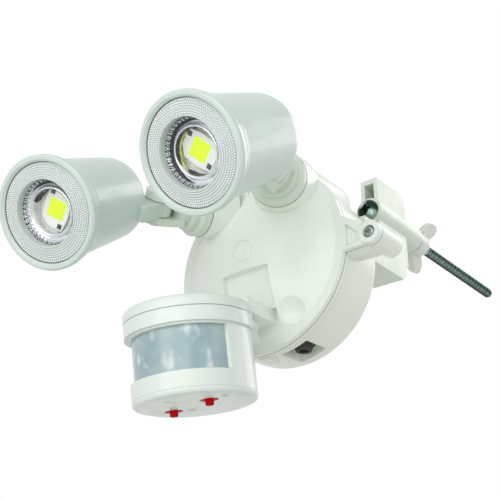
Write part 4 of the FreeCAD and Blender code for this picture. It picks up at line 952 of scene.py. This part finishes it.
def make_base_marks():
    """Small raised marks beside the dials: two dots and two open rings."""
    marks = []
    for x, y in DOT_PLACES:
        marks.append(moved(lathe(MARK_DOT, MARK_STEPS), shift(x, y)))
    for x, y in RING_PLACES:
        marks.append(moved(lathe(MARK_RING, MARK_STEPS, True), shift(x, y)))
    mesh = as_mesh("base_marks", join(*marks), SENSOR)
    piece("base_marks", mesh, SENSOR_WHITE, "sensor", [], sharp=30)


# ------------------------------------------------------------- clamp bolt

BOLT_TIP, THREAD_START = -150.0, -66.0
BOLT_RADIUS, ROOT_RADIUS, HEAD_TALL = 3.0, 2.62, 4.0
CROSS_WIDTH, CROSS_SPAN, CROSS_DEEP = 1.1, 6.4, 1.9
RIDGE_START, BOLT_STEPS = -148.4, 48
BOLT_BLANK = (
    (0, BOLT_TIP), (1.9, BOLT_TIP), (2.35, -149.6), (ROOT_RADIUS, -148.8), (ROOT_RADIUS, THREAD_START),
    (BOLT_RADIUS, -65.0), (BOLT_RADIUS, 0.0), (6.1, 0.0), (6.4, 0.3), (6.4, 1.2), (6.15, 2.0), (5.5, 2.8),
    (4.5, 3.45), (3.2, 3.85), (1.6, HEAD_TALL), (0, HEAD_TALL),
)


def make_bolt():
    """Bolt with a domed cross-recess head, and the ridge of its thread."""
    blank = as_mesh("bolt_blank", lathe(BOLT_BLANK, BOLT_STEPS), BOLT)
    cross = cross_tools("bolt_cross", BOLT, CROSS_WIDTH, CROSS_SPAN, HEAD_TALL, CROSS_DEEP)
    bolt = carved("bolt_blank", blank, cross)
    piece("threaded_bolt", bolt, THREAD_STEEL, "housing", ["clamp_bolt"], sharp=30)
    thread = grown("bolt_thread", THREAD, BOLT @ shift(z=RIDGE_START))
    piece("bolt_thread", thread, THREAD_STEEL, "housing", [], sharp=50)


# ---------------------------------------------------------- small fasteners

NUT_RADIUS, NUT_TALL = 3.9, 2.2
ARM_HALF, NECK_HALF = 8.6, 8.0
PIN_CAP = (
    (0, 2.9), (2.6, 2.75), (3.9, 2.2), (4.5, 1.2), (4.6, 0.05), (3.95, 0.05), (3.9, 1.9), (0, 2.45),
)
# Section of the dark ring in each swivel joint, painted shade in the gap.
SWIVEL_GAP_SHADE = ((5.4, 0.03), (15.45, 0.03), (15.55, 0.15), (15.45, 0.27), (5.4, 0.27))
CAP_STEPS, GAP_SHADE_STEPS = 48, 96


def hex_nut(radius, height):
    """A domed hexagon nut, with its bore closed by the screw's end."""
    steps = ((0.25, 0.0), (0.0, 0.25), (0.0, height * 0.7), (0.35, height * 0.85), (radius * 0.45, height))
    return loft([[(x, y, lift) for x, y in ring_of(6, radius - inset, 30)] for inset, lift in steps])


def hinge_pins():
    """Each hinge: its word, the frame on its pin, half its width and its body."""
    pins = [(word, arm_pin(side), ARM_HALF, "arm_" + word) for word, side in SIDES]
    return pins + [("sensor", NECK_PIN, NECK_HALF, "sensor_neck")]


def make_pivot_nuts():
    solids = {"right": "pivot_nut_right", "left": "pivot_nut_left", "sensor": "sensor_pivot_nut"}
    for word, pin, half, body in hinge_pins():
        nut = as_mesh("hex_nut_" + word, hex_nut(NUT_RADIUS, NUT_TALL), pin @ shift(-half) @ turn("Y", -90))
        piece("hex_nut_" + word, nut, SCREW_STEEL, body, [solids[word]], sharp=20)


def make_pin_caps():
    """White caps pressed over the heads of the hinge screws."""
    for word, pin, half, body in hinge_pins():
        cap = as_mesh("pin_cap_" + word, lathe(PIN_CAP, CAP_STEPS), pin @ shift(half) @ turn("Y", 90))
        piece("pin_cap_" + word, cap, ARM_WHITE, body, [], sharp=40)


def make_swivel_gap_shades():
    """Thin dark ring in the joint under each lamp arm: painted shade in the gap, shaped as a seal."""
    for word, side in SIDES:
        seal = as_mesh("swivel_gap_shade_" + word, lathe(SWIVEL_GAP_SHADE, GAP_SHADE_STEPS, True), arm_place(side))
        piece("swivel_gap_shade_" + word, seal, OLIVE_SEAL_AND_GAP_SHADE, "arm_" + word, [], sharp=40)


# ------------------------------------------------- finishes of CAD pieces

FINISHES = (
    (COVER_WHITE, ("front_cover", "dome_cap")),
    (SHELL_WHITE, ("rear_housing",)),
    # The clamp bracket takes the darker arm white: painted shade on the one white plastic.
    (ARM_WHITE, ("arm_right", "arm_left", "sensor_neck", "clamp_bracket")),
    (LAMP_WHITE, ("lamp_housing_right", "lamp_housing_left", "lamp_bezel_right", "lamp_bezel_left")),
    (SENSOR_WHITE, ("sensor_housing",)),
    (NUT_WHITE, ("wing_nut",)),
    (SEAL_RUBBER, ("cover_gasket", "cable_gland")),
    (SCREW_STEEL, (
        "ear_screw_right", "ear_screw_left", "board_screw_upper", "board_screw_lower",
        "bracket_screw_low", "bracket_screw_high", "bolt_washer", "pivot_screw_right",
        "pivot_screw_left", "sensor_pivot_screw", "swivel_clip_right", "swivel_clip_left", "pir_element",
    )),
    (CARRIER_WHITE, ("led_board_right", "led_board_left")),
    (SINK_ALUMINIUM, ("heat_sink_right", "heat_sink_left")),
    (BOARD_GREEN, ("driver_board", "sensor_board")),
    (RELAY_BLACK, ("relay",)),
    (SLEEVE_BLUE, ("capacitor",)),
    (TERMINAL_GREEN, ("terminal_block",)),
    (COIL_TAPE, ("transformer",)),
)


def paint_solids():
    for coat, labels in FINISHES:
        for label in labels:
            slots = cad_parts[label].data.materials
            slots.clear()
            slots.append(coat)


# ---------------------------------------------------------- light and view

FLOOR_HALF, FLOOR_LEVEL = 3.0, -0.46
FADE_START, FADE_END = 0.45, 1.6
WORLD_GLOW = 0.5
# Camera: place and nearest view in metres, turns in degrees, lens in millimetres.
CAMERA_PLACE, NEAREST_VIEW = (0.2877, -0.5679, -0.3005), 0.01
CAMERA_PITCH, CAMERA_ROLL, CAMERA_YAW = 115.8432, 0.864, 37.0485
CAMERA_WIDTH, FOCAL_LENGTH = 36.0, 82.46
AIM = (-0.03, -0.1, -0.05)
# Name, place, target, size in metres and power in watts.
LIGHTS = (
    ("key", (0.2, -1.15, 0.0), AIM, 1.2, 7.4),
    ("side", (0.95, -0.35, -0.05), AIM, 0.8, 0.9),
    ("back", (0.3, 0.8, 0.5), (0.0, 0.0, -0.05), 0.6, 3.0),
)


def make_floor():
    """Pale floor below the hanging light, see-through from underneath and fading outwards."""
    coat = bpy.data.materials.new("studio_floor")
    coat.use_nodes = True
    tree = coat.node_tree
    shader = shader_of(coat)
    shader.inputs["Base Color"].default_value = (0.82, 0.82, 0.82, 1.0)
    shader.inputs["Roughness"].default_value = 0.9
    clear = add(tree, "ShaderNodeBsdfTransparent")
    side = add(tree, "ShaderNodeNewGeometry")
    place = add(tree, "ShaderNodeTexCoord")
    reach = add(tree, "ShaderNodeVectorMath", operation="LENGTH")
    wire(tree, place.outputs["Object"], reach.inputs[0])
    fade = ranged(tree, reach.outputs["Value"], FADE_START, FADE_END, interpolation_type="SMOOTHSTEP")
    mix = add(tree, "ShaderNodeMixShader")
    wire(tree, sums(tree, "MAXIMUM", side.outputs["Backfacing"], fade), mix.inputs["Fac"])
    wire(tree, shader.outputs["BSDF"], mix.inputs[1])
    wire(tree, clear.outputs["BSDF"], mix.inputs[2])
    wire(tree, mix.outputs["Shader"], tree.nodes["Material Output"].inputs["Surface"])
    mesh = bpy.data.meshes.new("studio_floor")
    signs = ((-1, -1), (1, -1), (1, 1), (-1, 1))
    mesh.from_pydata([(x * FLOOR_HALF, y * FLOOR_HALF, FLOOR_LEVEL) for x, y in signs], [], [(0, 1, 2, 3)])
    mesh.materials.append(coat)
    as_object("studio_floor", mesh)


def make_world():
    """Soft even light on the object, with plain white behind it and in its gloss."""
    world = bpy.data.worlds.new("studio")
    bpy.context.scene.world = world
    world.use_nodes = True
    tree = world.node_tree
    plain = tree.nodes["Background"]
    plain.inputs["Color"].default_value = (1.0, 1.0, 1.0, 1.0)
    plain.inputs["Strength"].default_value = WORLD_GLOW
    white = add(tree, "ShaderNodeBackground")
    white.inputs["Color"].default_value = (1.0, 1.0, 1.0, 1.0)
    path = add(tree, "ShaderNodeLightPath")
    seen = sums(tree, "MAXIMUM", path.outputs["Is Camera Ray"], path.outputs["Is Transmission Ray"])
    seen = sums(tree, "MAXIMUM", seen, path.outputs["Is Glossy Ray"])
    mix = add(tree, "ShaderNodeMixShader")
    wire(tree, seen, mix.inputs["Fac"])
    wire(tree, plain.outputs["Background"], mix.inputs[1])
    wire(tree, white.outputs["Background"], mix.inputs[2])
    wire(tree, mix.outputs["Shader"], tree.nodes["World Output"].inputs["Surface"])


def soft_light(name, place, target, size, power):
    lamp = bpy.data.lights.new(name, "AREA")
    lamp.size = size
    lamp.energy = power
    item = as_object(name, lamp)
    item.location = place
    aim = Vector(target) - Vector(place)
    item.rotation_euler = aim.to_track_quat("-Z", "Y").to_euler()


def make_camera():
    """Camera below the light and to its right, as the photograph was taken."""
    lens = bpy.data.cameras.new("view")
    lens.sensor_width = CAMERA_WIDTH
    lens.lens = FOCAL_LENGTH
    lens.clip_start = NEAREST_VIEW
    camera = as_object("view", lens)
    aim = turn("Z", CAMERA_YAW) @ turn("Y", CAMERA_ROLL) @ turn("X", CAMERA_PITCH)
    camera.matrix_world = shift(*CAMERA_PLACE) @ aim
    bpy.context.scene.camera = camera


THREAD = thread_tree()
BEADS = bead_tree()
DIAL_BLOCKS = spoke_tree(DIAL_RED)
# Dark blocks of painted shade on the bowl's teeth.
SHADE_BLOCKS = spoke_tree(REFLECTOR_SHADE)

make_camera()
make_world()
make_floor()
for light in LIGHTS:
    soft_light(*light)
paint_solids()
for tag, sign in SIDES:
    make_lamp(tag, sign)
make_hood()
make_base()
make_film()
make_dials()
make_base_marks()
make_bolt()
make_pivot_nuts()
make_pin_caps()
make_swivel_gap_shades()

view = bpy.context.scene.view_settings
view.view_transform = "Standard"
